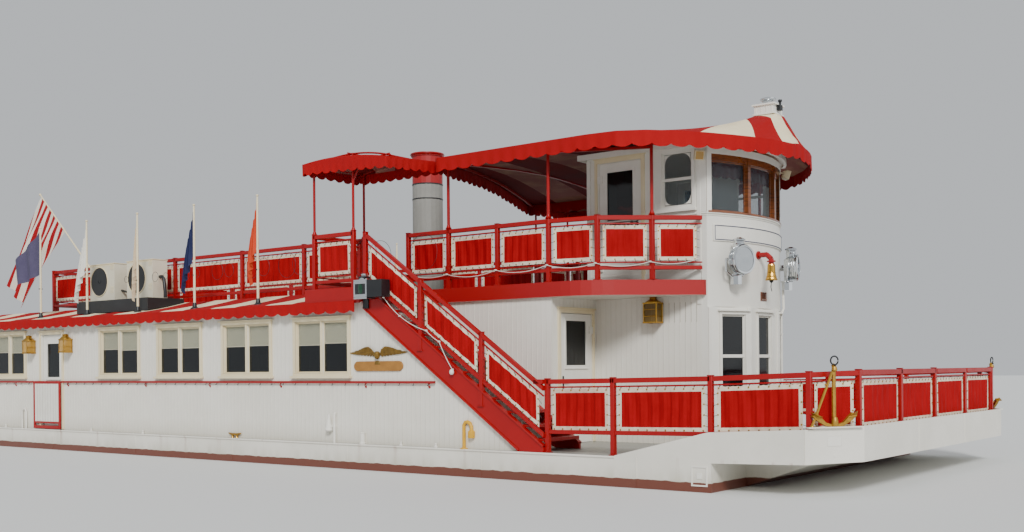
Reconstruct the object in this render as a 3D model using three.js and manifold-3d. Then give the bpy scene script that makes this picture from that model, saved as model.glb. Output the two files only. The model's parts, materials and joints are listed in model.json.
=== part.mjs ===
// A river excursion boat with two stern paddle wheels: white scow hull, long low cabin, open
// upper deck, pilothouse tower at the bow, and striped awnings.
// Millimetres. X forward, Y to port, Z up. The origin is on the waterline, on the centreline.
import * as THREE from "three";
import { mergeVertices } from "three/addons/utils/BufferGeometryUtils.js";
import Module from "manifold-3d";

const wasm = await Module();
wasm.setup();

// Driving dimensions
const HALF_BEAM = 3950;
const KEEL = -750;
const DECK = 430;
const STERN = -10000;
const BOW = 12000;
const SHOULDER = 10200;
const CABIN_AFT = -9600;
const CABIN_FRONT = 3700;
const CABIN_SIDE = 3880;
const WALL = 80;
const CEILING = 2800;
const UPPER = 3040;
const UPPER_EDGE = 2700;
const TOWER_BACK = 8700;
const TOWER_HALF = 1350;
const TOWER_FRONT = 9150;
const TOWER_CORNER = 8800;
const PILOT_BACK = 6550;
const PILOT_TOP = 5200;
const GAP = 0.3;
const RAIL_UP = 1010;
const EAVE = 5220;
const VALANCE = 220;

const red = { color: 0xb8181c, roughness: 0.45, metalness: 0 };
const white = { color: 0xe9e3d6, roughness: 0.6, metalness: 0 };
const wood = { color: 0x8a5426, roughness: 0.5, metalness: 0 };
const brass = { color: 0xb88a35, roughness: 0.3, metalness: 1 };
const chrome = { color: 0xc8ccd0, roughness: 0.15, metalness: 1 };
const grey = { color: 0x9d9a92, roughness: 0.5, metalness: 0.2 };
const black = { color: 0x20242a, roughness: 0.5, metalness: 0.1 };
const cloth = { color: 0xc4272b, roughness: 0.9, metalness: 0 };

// Solids from three.js shapes
const AXIS_X = new THREE.Vector3(1, 0, 0);
const AXIS_Y = new THREE.Vector3(0, 1, 0);
const AXIS_Z = new THREE.Vector3(0, 0, 1);

function extrude(points, depth) {
  const shape = new THREE.Shape(points.map(([x, y]) => new THREE.Vector2(x, y)));
  return new THREE.ExtrudeGeometry(shape, { depth, bevelEnabled: false });
}

// An outline in X and Y, from z0 up to z1.
function plan(points, z0, z1) {
  return extrude(points, z1 - z0).translate(0, 0, z0);
}

// An outline in X and Z, from y0 to y1.
function side(points, y0, y1) {
  const turn = new THREE.Matrix4().makeBasis(AXIS_X, AXIS_Z, AXIS_Y.clone().negate());
  const [low, high] = [Math.min(y0, y1), Math.max(y0, y1)];
  return extrude(points, high - low).applyMatrix4(turn).translate(0, high, 0);
}

// An outline in Y and Z, from x0 to x1.
function face(points, x0, x1) {
  const turn = new THREE.Matrix4().makeBasis(AXIS_Y, AXIS_Z, AXIS_X);
  return extrude(points, x1 - x0).applyMatrix4(turn).translate(x0, 0, 0);
}

function box(x0, x1, y0, y1, z0, z1) {
  const size = [x1 - x0, Math.abs(y1 - y0), z1 - z0];
  return new THREE.BoxGeometry(...size).translate((x0 + x1) / 2, (y0 + y1) / 2, (z0 + z1) / 2);
}

function rectangle(a0, a1, b0, b1) {
  return [[a0, b0], [a1, b0], [a1, b1], [a0, b1]];
}

function rod(from, to, radius, sides = 10) {
  const a = new THREE.Vector3(...from);
  const b = new THREE.Vector3(...to);
  const turn = new THREE.Quaternion().setFromUnitVectors(AXIS_Y, b.clone().sub(a).normalize());
  const shape = new THREE.CylinderGeometry(radius, radius, a.distanceTo(b), sides);
  return shape.applyQuaternion(turn).translate(...a.add(b).multiplyScalar(0.5).toArray());
}

// A turned shape about a vertical or level axis through `at`: the profile is [radius, height].
function turned(profile, at, axis = AXIS_Z, sides = 20) {
  const shape = new THREE.LatheGeometry(profile.map(([r, h]) => new THREE.Vector2(r, h)), sides);
  const turn = new THREE.Quaternion().setFromUnitVectors(AXIS_Y, axis);
  return shape.applyQuaternion(turn).translate(...at);
}

// An upright plate over the line from a to b in plan: the outline is [distance from a, height].
function upright(a, b, outline, thick) {
  const run = Math.hypot(b[0] - a[0], b[1] - a[1]);
  const along = new THREE.Vector3((b[0] - a[0]) / run, (b[1] - a[1]) / run, 0);
  const turn = new THREE.Matrix4().makeBasis(along, AXIS_Z, along.clone().cross(AXIS_Z));
  const plate = extrude(outline, thick).translate(0, 0, -thick / 2);
  return plate.applyMatrix4(turn).translate(a[0], a[1], 0);
}

// An upright strip from a to b, with its own low and high edge at each end
function strip(a, b, low, high, thick) {
  const run = Math.hypot(b[0] - a[0], b[1] - a[1]);
  return upright(a, b, [[0, low[0]], [run, low[1]], [run, high[1]], [0, high[0]]], thick);
}

// A solid through rings of points, all with the same number of points.
function loft(rings) {
  const count = rings[0].length;
  const last = (rings.length - 1) * count;
  const flat = rings[0].map(([, y, z]) => new THREE.Vector2(y, z));
  const caps = THREE.ShapeUtils.triangulateShape(flat, []);
  const index = [];
  for (let ring = 0; ring < rings.length - 1; ring += 1) {
    for (let i = 0; i < count; i += 1) {
      const [a, b] = [ring * count + i, ring * count + ((i + 1) % count)];
      index.push(a, b, b + count, a, b + count, a + count);
    }
  }
  for (const [a, b, c] of caps) {
    index.push(a, c, b, last + a, last + b, last + c);
  }
  const shape = new THREE.BufferGeometry();
  shape.setAttribute("position", new THREE.Float32BufferAttribute(rings.flat(2), 3));
  return shape.setIndex(index);
}

function solid(shape) {
  if (shape.getMesh) {
    return shape;
  }
  const bare = (shape.index ? shape.toNonIndexed() : shape.clone());
  bare.deleteAttribute("normal");
  bare.deleteAttribute("uv");
  const merged = mergeVertices(bare, 1e-3);
  const corners = merged.index.array;
  const kept = [];
  for (let i = 0; i < corners.length; i += 3) {
    const [a, b, c] = [corners[i], corners[i + 1], corners[i + 2]];
    if (a !== b && b !== c && c !== a) {
      kept.push(a, b, c);
    }
  }
  const mesh = new wasm.Mesh({
    numProp: 3,
    vertProperties: merged.attributes.position.array,
    triVerts: new Uint32Array(kept),
  });
  return new wasm.Manifold(mesh);
}

function join(...shapes) {
  return shapes.flat().map(solid).reduce((whole, next) => whole.add(next));
}

function cut(shape, ...tools) {
  return tools.flat().map(solid).reduce((whole, tool) => whole.subtract(tool), solid(shape));
}

const boat = new THREE.Group();

function piece(name, shape, look) {
  const mesh = solid(shape).getMesh();
  const geometry = new THREE.BufferGeometry();
  geometry.setAttribute("position", new THREE.BufferAttribute(mesh.vertProperties, 3));
  geometry.setIndex(new THREE.BufferAttribute(mesh.triVerts, 1));
  geometry.computeVertexNormals();
  const made = new THREE.Mesh(geometry, new THREE.MeshStandardMaterial(look));
  made.name = name;
  boat.add(made);
}

// Both sides of the boat: starboard is the minus side of Y.
const SIDES = [["starboard", -1], ["port", 1]];

// Hull
const RAKE_LOW = [7950, KEEL];
const RAKE_WATER = [SHOULDER, 0];
const RAKE_TOP = [11400, 430];
const BOW_HALF = 2900;
const CORNER = [11500, HALF_BEAM];
const FRONT = [BOW, 3220];
const PLATE = 16;
const STERN_RAKE = [-7000, KEEL];
const TRANSOM_LOW = 50;
const BOW_SLAB = 390;
const FRONT_PLATE_TOP = 900;
// Bulwark top along the bow: [x, y, height]
const BULWARK = [
  [8700, HALF_BEAM, 440],
  [10150, HALF_BEAM, 800],
  [CORNER[0], HALF_BEAM, 870],
  [FRONT[0], FRONT[1], FRONT_PLATE_TOP],
];
// The bow deck rises evenly from here to the front plate.
const RISE_START = SHOULDER - 100;
const BOW_RISE = 50;
const RISE_SLOPE = BOW_RISE / (BOW - RISE_START);
const rise = (x) => Math.max(0, x - RISE_START) * RISE_SLOPE;
const SHEER = new THREE.Matrix4().set(
  1, 0, 0, 0,
  0, 1, 0, 0,
  RISE_SLOPE, 0, 1, -RISE_SLOPE * RISE_START,
  0, 0, 0, 1,
);
const RUDDER = { x: -9200, y: 1900, stock: 45, bore: 46, top: 200 };

function bulwark(sign) {
  const inset = PLATE / 2;
  return BULWARK.slice(1).map(([x, y, high], i) => {
    const [x0, y0, high0] = BULWARK[i];
    const low = [BOW_SLAB + rise(x0), BOW_SLAB + rise(x)];
    const level = (at) => sign * (at - inset);
    return strip([x0, level(y0)], [x - (x === BOW ? inset : 0), level(y)], low, [high0, high], PLATE);
  });
}

function hull() {
  const profile = [
    [STERN, DECK], [STERN, TRANSOM_LOW], STERN_RAKE, RAKE_LOW, RAKE_WATER, [SHOULDER, DECK],
  ];
  const deck = [
    [RISE_START, -HALF_BEAM], [CORNER[0], -HALF_BEAM], [FRONT[0], -FRONT[1]],
    [FRONT[0], FRONT[1]], [CORNER[0], HALF_BEAM], [RISE_START, HALF_BEAM],
  ];
  const rake = [[SHOULDER - 200, DECK - 10], [SHOULDER - 200, -67], RAKE_WATER, RAKE_TOP];
  const body = join(
    side(profile, -HALF_BEAM, HALF_BEAM),
    side(rake, -BOW_HALF, BOW_HALF),
    plan(deck, BOW_SLAB, DECK).applyMatrix4(SHEER),
    bulwark(-1),
    bulwark(1),
    box(BOW - PLATE, BOW, -FRONT[1], FRONT[1], BOW_SLAB + BOW_RISE, FRONT_PLATE_TOP),
  );
  const bores = SIDES.map(([, sign]) => {
    const at = [RUDDER.x, sign * RUDDER.y];
    return rod([...at, KEEL], [...at, RUDDER.top], RUDDER.bore, 16);
  });
  return cut(body, bores);
}
piece("hull", hull(), white);

// Cabin walls
const WINDOW = { wide: 1300, low: 1610, high: 2510, bar: 60 };
const WINDOW_CENTRES = [2730, 750, -1240, -3220, -7470];
const SIDE_DOOR = { x0: -6140, x1: -5340, high: 2480 };
const SIDE_GATE = { x: -6400, wide: 1050, low: 445, high: 1480, w0: 32, w1: 62, slats: 8 };
const HANDRAIL = 1460;
const STAIR = { foot: 7530, end: 7464, top: 3800, out: 3950, in: 2950, depth: 360, rail: 930 };
const SLOPE = (UPPER - DECK) / (STAIR.foot - STAIR.top);

// Two panes with an upright bar between them, as holes in X and Z.
function panes(centre, { wide, low, high, bar }) {
  return [-1, 1].map((half) => {
    const inner = centre + (half * bar) / 2;
    const outer = centre + (half * wide) / 2;
    return rectangle(Math.min(inner, outer), Math.max(inner, outer), low, high);
  });
}

function cabinWall(sign) {
  const foot = STAIR.foot - STAIR.depth / SLOPE - 20;
  const outline = [
    [CABIN_AFT, DECK], [foot, DECK], [CABIN_FRONT, DECK + (foot - CABIN_FRONT) * SLOPE],
    [CABIN_FRONT, CEILING], [CABIN_AFT, CEILING],
  ];
  const wall = side(outline, sign * CABIN_SIDE, sign * (CABIN_SIDE - WALL));
  const { x0, x1, high } = SIDE_DOOR;
  const through = [sign * (CABIN_SIDE + 60), sign * (CABIN_SIDE - WALL - 60)];
  const holes = WINDOW_CENTRES.flatMap((centre) => panes(centre, WINDOW));
  const tools = [...holes, rectangle(x0, x1, DECK - 10, high)].map((hole) => side(hole, ...through));
  const gateEnd = SIDE_GATE.x + SIDE_GATE.wide;
  const rails = [[CABIN_AFT, SIDE_GATE.x - 90], [gateEnd + 30, 5330]].map(([a, b]) => {
    return box(a, b, sign * (CABIN_SIDE - 10), sign * (CABIN_SIDE + 50), HANDRAIL - 20, HANDRAIL + 20);
  });
  return join(cut(wall, tools), rails);
}

function aftWall() {
  const inner = CABIN_SIDE - WALL;
  const holes = [-1, 1].map((sign) => {
    const at = sign * 2300;
    return rectangle(at - 600, at + 600, WINDOW.low, WINDOW.high);
  });
  const tools = holes.map((hole) => face(hole, CABIN_AFT - 50, CABIN_AFT + WALL + 50));
  return cut(face(rectangle(-inner, inner, DECK, CEILING), CABIN_AFT, CABIN_AFT + WALL), tools);
}

const INNER_WALL = 2640;
const DOOR_WALL = 6700;
const FRONT_DOOR = { y0: 1500, y1: 2400, high: 2560 };

function frontWall(sign) {
  const inner = INNER_WALL - WALL;
  const across = (a, b) => [sign * a, sign * b];
  const walls = join(
    box(CABIN_FRONT - WALL, CABIN_FRONT, ...across(CABIN_SIDE - WALL, inner), DECK, CEILING),
    box(CABIN_FRONT - WALL, DOOR_WALL, ...across(INNER_WALL, inner), DECK, CEILING),
    box(DOOR_WALL - WALL, DOOR_WALL, ...across(INNER_WALL, TOWER_HALF - WALL), DECK, CEILING),
    box(DOOR_WALL - WALL, TOWER_BACK, ...across(TOWER_HALF, TOWER_HALF - WALL), DECK, CEILING),
  );
  const { y0, y1, high } = FRONT_DOOR;
  const lantern = box(7765, 7985, ...across(TOWER_HALF - 10, TOWER_HALF + 200), 2385, 2700);
  const doorway = box(DOOR_WALL - 200, DOOR_WALL + 100, ...across(y0, y1), DECK - 10, high);
  return join(cut(walls, doorway), lantern);
}

for (const [name, sign] of SIDES) {
  piece(`cabin_wall_${name}`, cabinWall(sign), white);
  piece(`front_wall_${name}`, frontWall(sign), white);
}
piece("cabin_wall_aft", aftWall(), white);

// Tower: a three-sided bay below, a curved skirt above it, and a curved band of windows on top
const BAY = [[TOWER_BACK, TOWER_HALF], [8810, TOWER_HALF], [9130, 530]];
const BAY_TOP = 2620;
const SASH = { wide: 500, low: 1150, high: 2500, share: 0.595 };
const SKIRT_TOP = 4090;
const SKIRT_WALL = 60;
const BAND_TOP = PILOT_TOP;
const ARC_STEPS = 12;

// The arc of the tower's round front, in plan
function frontArc() {
  const rise = TOWER_FRONT - TOWER_CORNER;
  const radius = (TOWER_HALF ** 2 + rise ** 2) / (2 * rise);
  return { radius, centre: TOWER_FRONT - radius, end: Math.asin(TOWER_HALF / radius) };
}

// The tower's round front, pulled in by `inset`, from starboard to port.
function towerFront(inset) {
  const { radius, centre } = frontArc();
  const half = TOWER_HALF - inset;
  const end = Math.asin(half / (radius - inset));
  const points = [];
  for (let i = 0; i <= ARC_STEPS; i += 1) {
    const turn = -end + (2 * end * i) / ARC_STEPS;
    points.push([centre + (radius - inset) * Math.cos(turn), (radius - inset) * Math.sin(turn)]);
  }
  return points;
}

function towerOutline(inset, back = TOWER_BACK) {
  const half = TOWER_HALF - inset;
  return [[back, -half], ...towerFront(inset), [back, half]];
}

function mirrored(points) {
  return [...points.map(([x, y]) => [x, -y]), ...[...points].reverse()];
}

function towerBay() {
  const outer = plan(mirrored(BAY), DECK, BAY_TOP);
  const insideBay = [[TOWER_BACK - 50, 1270], [8755, 1270], [9050, 515]];
  const inside = plan(mirrored(insideBay), DECK - 10, BAY_TOP + 10);
  const [, shoulder, nose] = BAY;
  const flip = ([x, y]) => [x, -y];
  // Each facet and how far along it the window's middle is
  const facets = [
    [flip(shoulder), flip(nose), SASH.share], [flip(nose), nose, 0.5], [nose, shoulder, 1 - SASH.share],
  ];
  const windows = facets.map(([a, b, share]) => {
    const half = SASH.wide / 2 / Math.hypot(b[0] - a[0], b[1] - a[1]);
    const ends = [share - half, share + half].map((t) => [0, 1].map((k) => a[k] + (b[k] - a[k]) * t));
    return strip(...ends, [SASH.low, SASH.low], [SASH.high, SASH.high], 300);
  });
  return cut(outer, inside, windows);
}

function towerSkirt() {
  const outer = plan(towerOutline(0), BAY_TOP, SKIRT_TOP);
  const inside = plan(towerOutline(SKIRT_WALL, TOWER_BACK - 50), BAY_TOP + 80, SKIRT_TOP + 10);
  return cut(outer, inside);
}

// Posts between the panes of the window band, and the panes' height
const MULLIONS = [-1310, -480, 480, 1310];
const BAND = { low: 4140, high: 4930, post: 70 };

function windowBand() {
  const outer = plan(towerOutline(0), SKIRT_TOP, BAND_TOP);
  const inside = plan(towerOutline(SKIRT_WALL, TOWER_BACK - 50), SKIRT_TOP - 10, BAND_TOP + 10);
  const openings = MULLIONS.slice(1).map((right, i) => {
    const left = MULLIONS[i];
    return box(TOWER_CORNER - 60, TOWER_FRONT + 50, left + BAND.post / 2, right - BAND.post / 2,
      BAND.low, BAND.high);
  });
  return cut(outer, inside, openings);
}

// Pilothouse door and side window, as spans of X
const PILOT_DOOR = { x0: 6790, x1: 7610, low: UPPER + 20, high: 5080 };
const PILOT_WINDOW = { x0: 8000, x1: 8550, low: 4230, high: 5120 };

function pilothouse() {
  const inner = TOWER_HALF - SKIRT_WALL;
  const shell = plan(rectangle(PILOT_BACK, TOWER_BACK, -TOWER_HALF, TOWER_HALF), UPPER, PILOT_TOP);
  const inside = box(PILOT_BACK + SKIRT_WALL, TOWER_BACK + 50, -inner, inner, UPPER - 10, PILOT_TOP + 10);
  const through = ({ x0, x1, low, high }) => box(x0, x1, -TOWER_HALF - 50, TOWER_HALF + 50, low, high);
  const rear = box(PILOT_BACK - 50, PILOT_BACK + 100, -500, 500, 4180, 4950);
  return cut(shell, inside, through(PILOT_DOOR), through(PILOT_WINDOW), rear);
}

piece("tower_bay", towerBay(), white);
piece("tower_skirt", towerSkirt(), white);
piece("pilothouse_window_band", windowBand(), wood);
piece("pilothouse_walls", pilothouse(), white);
// Roof with a fascia that hangs clear of the walls
const FASCIA = { out: 120, wall: 50, low: 5160 };

function pilothouseRoof() {
  const { out, wall, low } = FASCIA;
  const around = (distance) => towerOutline(-distance, PILOT_BACK - distance);
  const inside = plan(around(out - wall), low - 10, PILOT_TOP);
  return cut(plan(around(out), low, PILOT_TOP + 50), inside);
}
piece("pilothouse_roof", pilothouseRoof(), white);

// Upper deck. Its edge turns in on an arc and runs straight to the tower.
const DECK_AFT = -9900;
const EDGE_ARC = { x: 6926, radius: 1200, turn: 0.733, steps: 5 };
const EDGE_END = [8780, 1410];

function upperDeck() {
  const { x, radius, turn, steps } = EDGE_ARC;
  const arc = Array.from({ length: steps + 1 }, (_, i) => {
    const at = (turn * i) / steps;
    return [x + radius * Math.sin(at), UPPER_EDGE - radius * (1 - Math.cos(at))];
  });
  const corner = [[EDGE_END[0], TOWER_HALF], [TOWER_BACK, TOWER_HALF]];
  return plan(mirrored([[DECK_AFT, UPPER_EDGE], ...arc, EDGE_END, ...corner]), CEILING, UPPER);
}
piece("upper_deck", upperDeck(), red);

// Striped side roofs, with a valance at the eave and the flags that stand on them
const ROOF = { high: 3100, eave: 2830, out: 4050, drop: 2600, lip: 30, front: 2500 };
const FLAG_ROW = [-6300, -4500, -2700, -870, 980];
const POLE = { y: 3800, radius: 22, tall: 2000 };
// The flags hang down beside their poles; the aftmost one spreads more.
const FLAG = { wide: [760, 420, 300, 420, 380], tall: 1550, thick: 14 };

const roofSlope = (ROOF.high - ROOF.eave) / (ROOF.out - UPPER_EDGE);
const roofHeight = (y) => ROOF.high - (Math.abs(y) - UPPER_EDGE) * roofSlope;

function sideRoof(sign) {
  const section = [
    [UPPER_EDGE, CEILING], [ROOF.out - ROOF.lip, CEILING], [ROOF.out - ROOF.lip, ROOF.drop],
    [ROOF.out, ROOF.drop], [ROOF.out, ROOF.eave], [UPPER_EDGE, ROOF.high],
  ].map(([y, z]) => [sign * y, z]);
  const base = roofHeight(POLE.y);
  const flags = FLAG_ROW.flatMap((x, i) => {
    const y = sign * POLE.y;
    const top = base + POLE.tall;
    return [
      rod([x, y, base - 30], [x, y, top], POLE.radius, 6),
      rod([x, y, base - 30], [x, y, base + 60], 3 * POLE.radius, 6),
      box(x - FLAG.wide[i], x, y - FLAG.thick / 2, y + FLAG.thick / 2, top - FLAG.tall, top - 40),
    ];
  });
  const edge = [sign * (ROOF.out - ROOF.lip), sign * ROOF.out];
  const valance = box(ROOF.front - 10, CABIN_FRONT, ...edge, ROOF.drop, ROOF.eave);
  return join(face(section, DECK_AFT, ROOF.front), valance, flags);
}

// Rails: a bay is a top rail, a cloth panel and a foot rail between two posts.
const BAR = { post: 70, top: 70, foot: 60, cloth: 14 };

// `lift` is the height of the top rail's upper face at each end of the bay.
function bay(a, b, lift, { cloth: [clothLow, clothHigh], foot }) {
  const level = (from, to, thick) => {
    return strip(a, b, lift.map((z) => z - from), lift.map((z) => z - to), thick);
  };
  return [
    level(BAR.top, 0, 70),
    level(clothHigh, clothLow, BAR.cloth),
    level(foot + BAR.foot, foot, 50),
  ];
}

function post([x, y], low, high, wide = BAR.post) {
  return box(x - wide / 2, x + wide / 2, y - wide / 2, y + wide / 2, low, high);
}

// Depths below the top rail: cloth from and to, foot rail
const UPPER_BAY = { cloth: [160, 700], foot: 850 };
const MAIN_BAY = { cloth: [150, 740], foot: 800 };
const STAIR_BAY = { cloth: [180, 660], foot: 760 };

function railing(points, bases, lifts, kind) {
  const parts = points.map((at, i) => post(at, bases[i] ?? bases[0], lifts[i] ?? lifts[0]));
  for (let i = 1; i < points.length; i += 1) {
    const lift = [lifts[i - 1] ?? lifts[0], lifts[i] ?? lifts[0]];
    parts.push(...bay(points[i - 1], points[i], lift, kind));
  }
  return parts;
}

// Posts of the upper rail along the straight edge, then those that follow the edge in to the tower
const RAIL_INSET = 60;
const AFT_POSTS = [-7710, -5380, -3050, -870, 940, 2540];
const FORWARD_POSTS = [3630, 4560, 5620, 6660];
const CURVE_POSTS = [[7490, 2490], [8150, 1935]];
const RAIL_END = [8740, 1402];
const POST_TOP = 5100;
const railY = UPPER_EDGE - RAIL_INSET;
// Posts that go on up to the canopy
const TALL_POSTS = [[FORWARD_POSTS[1], railY], [FORWARD_POSTS[3], railY], CURVE_POSTS[1]];

function upperRail(sign) {
  const top = UPPER + RAIL_UP;
  const flip = ([x, y]) => [x, sign * y];
  const forward = [...FORWARD_POSTS.map((x) => [x, railY]), ...CURVE_POSTS].map(flip);
  const aft = railing(AFT_POSTS.map((x) => [x, sign * railY]), [UPPER], [top], UPPER_BAY);
  const fore = railing(forward, [UPPER], [top], UPPER_BAY);
  const last = bay(forward.at(-1), flip(RAIL_END), [top, top], UPPER_BAY);
  const tall = TALL_POSTS.map((at) => post(flip(at), UPPER, POST_TOP, 50));
  return { aft: join(aft), fore: join(fore, last, tall) };
}

function aftRail() {
  const x = AFT_POSTS[0];
  const half = railY - BAR.post / 2 - GAP;
  const points = [-1, -0.33, 0.33, 1].map((share) => [x, share * (half - BAR.post / 2)]);
  return join(railing(points, [UPPER], [UPPER + RAIL_UP], UPPER_BAY));
}

// Landing at the head of each stair, with its posts by X
const LANDING = { aft: 2500, fore: STAIR.top, out: 4020, rail: 3850, posts: [2540, 3490], top: 4000 };

function landing(sign) {
  const { aft, fore, out, rail, posts, top } = LANDING;
  const y = sign * rail;
  const inner = sign * (UPPER_EDGE + 60);
  return join(
    box(aft, fore, sign * UPPER_EDGE, sign * out, CEILING, UPPER),
    railing([[posts[0], inner], [posts[0], y], [posts[1], y]], [UPPER - 20], [top], UPPER_BAY),
  );
}

// Stairs
const STEPS = 13;
// Top of the bow rail at its first post, where the stair's rail ends
const BOW_RAIL_TOP = 1505;

function stair(sign) {
  const { foot, end, top, out, in: inner, depth, rail } = STAIR;
  const head = top + GAP;
  const climb = (x) => DECK + (foot - x) * SLOPE;
  const string = [
    [end, DECK + GAP], [end, climb(end) + 60], [head, climb(head) + 60 - 3], [head, climb(head) - depth],
    [foot - depth / SLOPE, DECK + GAP],
  ];
  const stringers = [out - 30, inner + 30].map((y) => side(string, sign * (y - 30), sign * (y + 30)));
  const treads = [];
  for (let i = 1; i < STEPS; i += 1) {
    const x = foot - ((foot - top) * i) / STEPS;
    const span = [sign * (inner + 30), sign * (out - 30)];
    treads.push(box(x - 20, Math.min(x + 260, end), ...span, climb(x) - 40, climb(x)));
  }
  // The rail is on the outer side, and ends against the bow rail's first post
  const at = sign * (out - 30);
  const line = (x) => climb(x) + rail;
  const stops = [end, 6300, 5060, head + 40];
  const uprights = stops.slice(1).map((x) => post([x, at], Math.min(climb(x), UPPER) - 20, line(x), 70));
  const spans = stops.slice(1).map((x, i) => {
    return bay([stops[i], at], [x, at], [line(stops[i]), line(x)], STAIR_BAY);
  });
  const half = BAR.post / 2;
  const level = box(end - 170, end, at - half, at + half, BOW_RAIL_TOP - BAR.top, BOW_RAIL_TOP);
  return join(stringers, treads, uprights, spans.flat(), level);
}

for (const [name, sign] of SIDES) {
  piece(`side_roof_${name}`, sideRoof(sign), cloth);
  const { aft, fore } = upperRail(sign);
  piece(`rail_upper_aft_${name}`, aft, red);
  piece(`rail_upper_fore_${name}`, fore, red);
  piece(`landing_${name}`, landing(sign), red);
  piece(`stair_${name}`, stair(sign), red);
}
piece("rail_upper_stern", aftRail(), red);

// Bow rail on the main deck: [x, y, top of the rail]
const FRONT_X = 11870;
const FRONT_HALF = 3070;
const BOW_RAIL = [
  [7500, 3870, BOW_RAIL_TOP], [8635, 3870, 1520], [10165, 3870, 1545], [11500, 3780, 1590],
  [FRONT_X, FRONT_HALF, 1610],
];
// Front rail posts by Y; the gate takes the last two bays.
const FRONT_POSTS = [-1500, 0];
const FRONT_TOP = 1615;
// Foot of a post on the rising deck, just clear of it
const seat = (x) => DECK + rise(x + BAR.post / 2) + GAP;

function bowRail(sign) {
  const points = BOW_RAIL.map(([x, y]) => [x, sign * y]);
  return join(railing(points, BOW_RAIL.map(([x]) => seat(x)), BOW_RAIL.map(([, , z]) => z), MAIN_BAY));
}

function frontRail() {
  const start = [FRONT_X, -FRONT_HALF + BAR.post / 2 + GAP];
  const posts = FRONT_POSTS.map((y) => [FRONT_X, y]);
  const lift = [FRONT_TOP, FRONT_TOP];
  return join(railing(posts, [seat(FRONT_X)], lift, MAIN_BAY), bay(start, posts[0], lift, MAIN_BAY));
}

for (const [name, sign] of SIDES) {
  piece(`rail_bow_${name}`, bowRail(sign), red);
}
piece("rail_front", frontRail(), red);

// Doors and gates. Each is drawn flat: u runs from the jamb along the leaf, w to the side that it
// opens to, and the leaf's own face lies at w = 0. The pin stands just proud of the wall.
const PIN = { u: -15, w: 12.4, radius: 12, high: 120 };
const CLEAR = 8;
const LEAF = 40;

function hung({ at, along, open }) {
  const place = (u, w) => [at[0] + along[0] * u + open[0] * w, at[1] + along[1] * u + open[1] * w];
  const block = (u0, u1, w0, w1, z0, z1) => {
    const [a, b] = [place(u0, w0), place(u1, w1)];
    const span = (i) => [Math.min(a[i], b[i]), Math.max(a[i], b[i])];
    return box(...span(0), ...span(1), z0, z1);
  };
  const pivot = place(PIN.u, PIN.w);
  const pin = (z) => rod([...pivot, z], [...pivot, z + PIN.high], PIN.radius, 12);
  const hinges = (heights, reach) => heights.flatMap((z) => [
    pin(z),
    block(PIN.u, reach + 4, 0.4, 24, z, z + PIN.high),
    block(reach, reach + 60, -5, 24, z, z + PIN.high),
  ]);
  return { block, pin, hinges };
}

function door(spot, { wide, low, high, glass: [glassLow, glassHigh] }) {
  const { block, hinges } = hung(spot);
  const leaf = block(CLEAR, wide - CLEAR, -LEAF, 0, low, high);
  const hole = block(150, wide - 150, -LEAF - 30, 30, glassLow, glassHigh);
  return join(cut(leaf, hole), hinges([low + 200, high - 320], CLEAR + 2));
}

// A gate of upright slats in a frame, hung in front of the wall
function sideGate(spot) {
  const { wide, low, high, w0, w1, slats } = SIDE_GATE;
  const { block, pin } = hung(spot);
  const frame = cut(block(0, wide, w0, w1, low, high), block(50, wide - 50, 0, 90, low + 50, high - 50));
  const pitch = (wide - 100) / slats;
  const bars = Array.from({ length: slats }, (_, i) => {
    const u = 50 + pitch * (i + 0.5);
    return block(u - 35, u + 35, w0 + 5, w1 - 5, low + 30, high - 30);
  });
  const pins = [low + 150, high - 270].flatMap((z) => [
    pin(z),
    block(PIN.u, 60, 12, w0 + 10, z, z + PIN.high),
  ]);
  return join(frame, bars, pins);
}

const GATE_LEAVES = [
  ["inner", { at: [FRONT_X - 35, 35], along: [0, 1], open: [-1, 0] }, 1540],
  ["outer", { at: [FRONT_X - 35, FRONT_HALF - 35], along: [0, -1], open: [-1, 0] }, 1450],
];

function gateLeaf(spot, reach) {
  const { block, hinges } = hung(spot);
  const low = FRONT_TOP - 860;
  const ends = [CLEAR, reach - 40].map((u) => block(u, u + 40, -55, -15, low, FRONT_TOP));
  const bars = [
    block(CLEAR, reach, -70, 0, FRONT_TOP - BAR.top, FRONT_TOP),
    block(CLEAR, reach, -42, -28, FRONT_TOP - 740, FRONT_TOP - 150),
    block(CLEAR, reach, -60, -10, low, FRONT_TOP - 800),
  ];
  return join(ends, bars, hinges([low, FRONT_TOP - 120], CLEAR + 2), [low, FRONT_TOP - 120].map((z) => {
    return block(CLEAR, CLEAR + 60, -50, 10, z, z + PIN.high);
  }));
}

for (const [name, sign] of SIDES) {
  piece(`side_door_${name}`, door(
    { at: [SIDE_DOOR.x0, sign * (CABIN_SIDE - WALL)], along: [1, 0], open: [0, -sign] },
    { wide: 800, low: DECK + CLEAR, high: SIDE_DOOR.high - CLEAR, glass: [1550, 2300] }), white);
  piece(`front_door_${name}`, door(
    { at: [DOOR_WALL, sign * FRONT_DOOR.y0], along: [0, sign], open: [1, 0] },
    { wide: 900, low: DECK + CLEAR, high: FRONT_DOOR.high - CLEAR, glass: [1700, 2450] }), white);
  piece(`pilot_door_${name}`, door(
    { at: [PILOT_DOOR.x0, sign * TOWER_HALF], along: [1, 0], open: [0, sign] },
    { wide: 820, low: PILOT_DOOR.low + CLEAR, high: PILOT_DOOR.high - CLEAR, glass: [3900, 4930] }), white);
  piece(`side_gate_${name}`, sideGate(
    { at: [SIDE_GATE.x, sign * CABIN_SIDE], along: [1, 0], open: [0, sign] }), red);
}
for (const [name, spot, reach] of GATE_LEAVES) {
  piece(`bow_gate_${name}`, gateLeaf(spot, reach), red);
}

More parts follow.
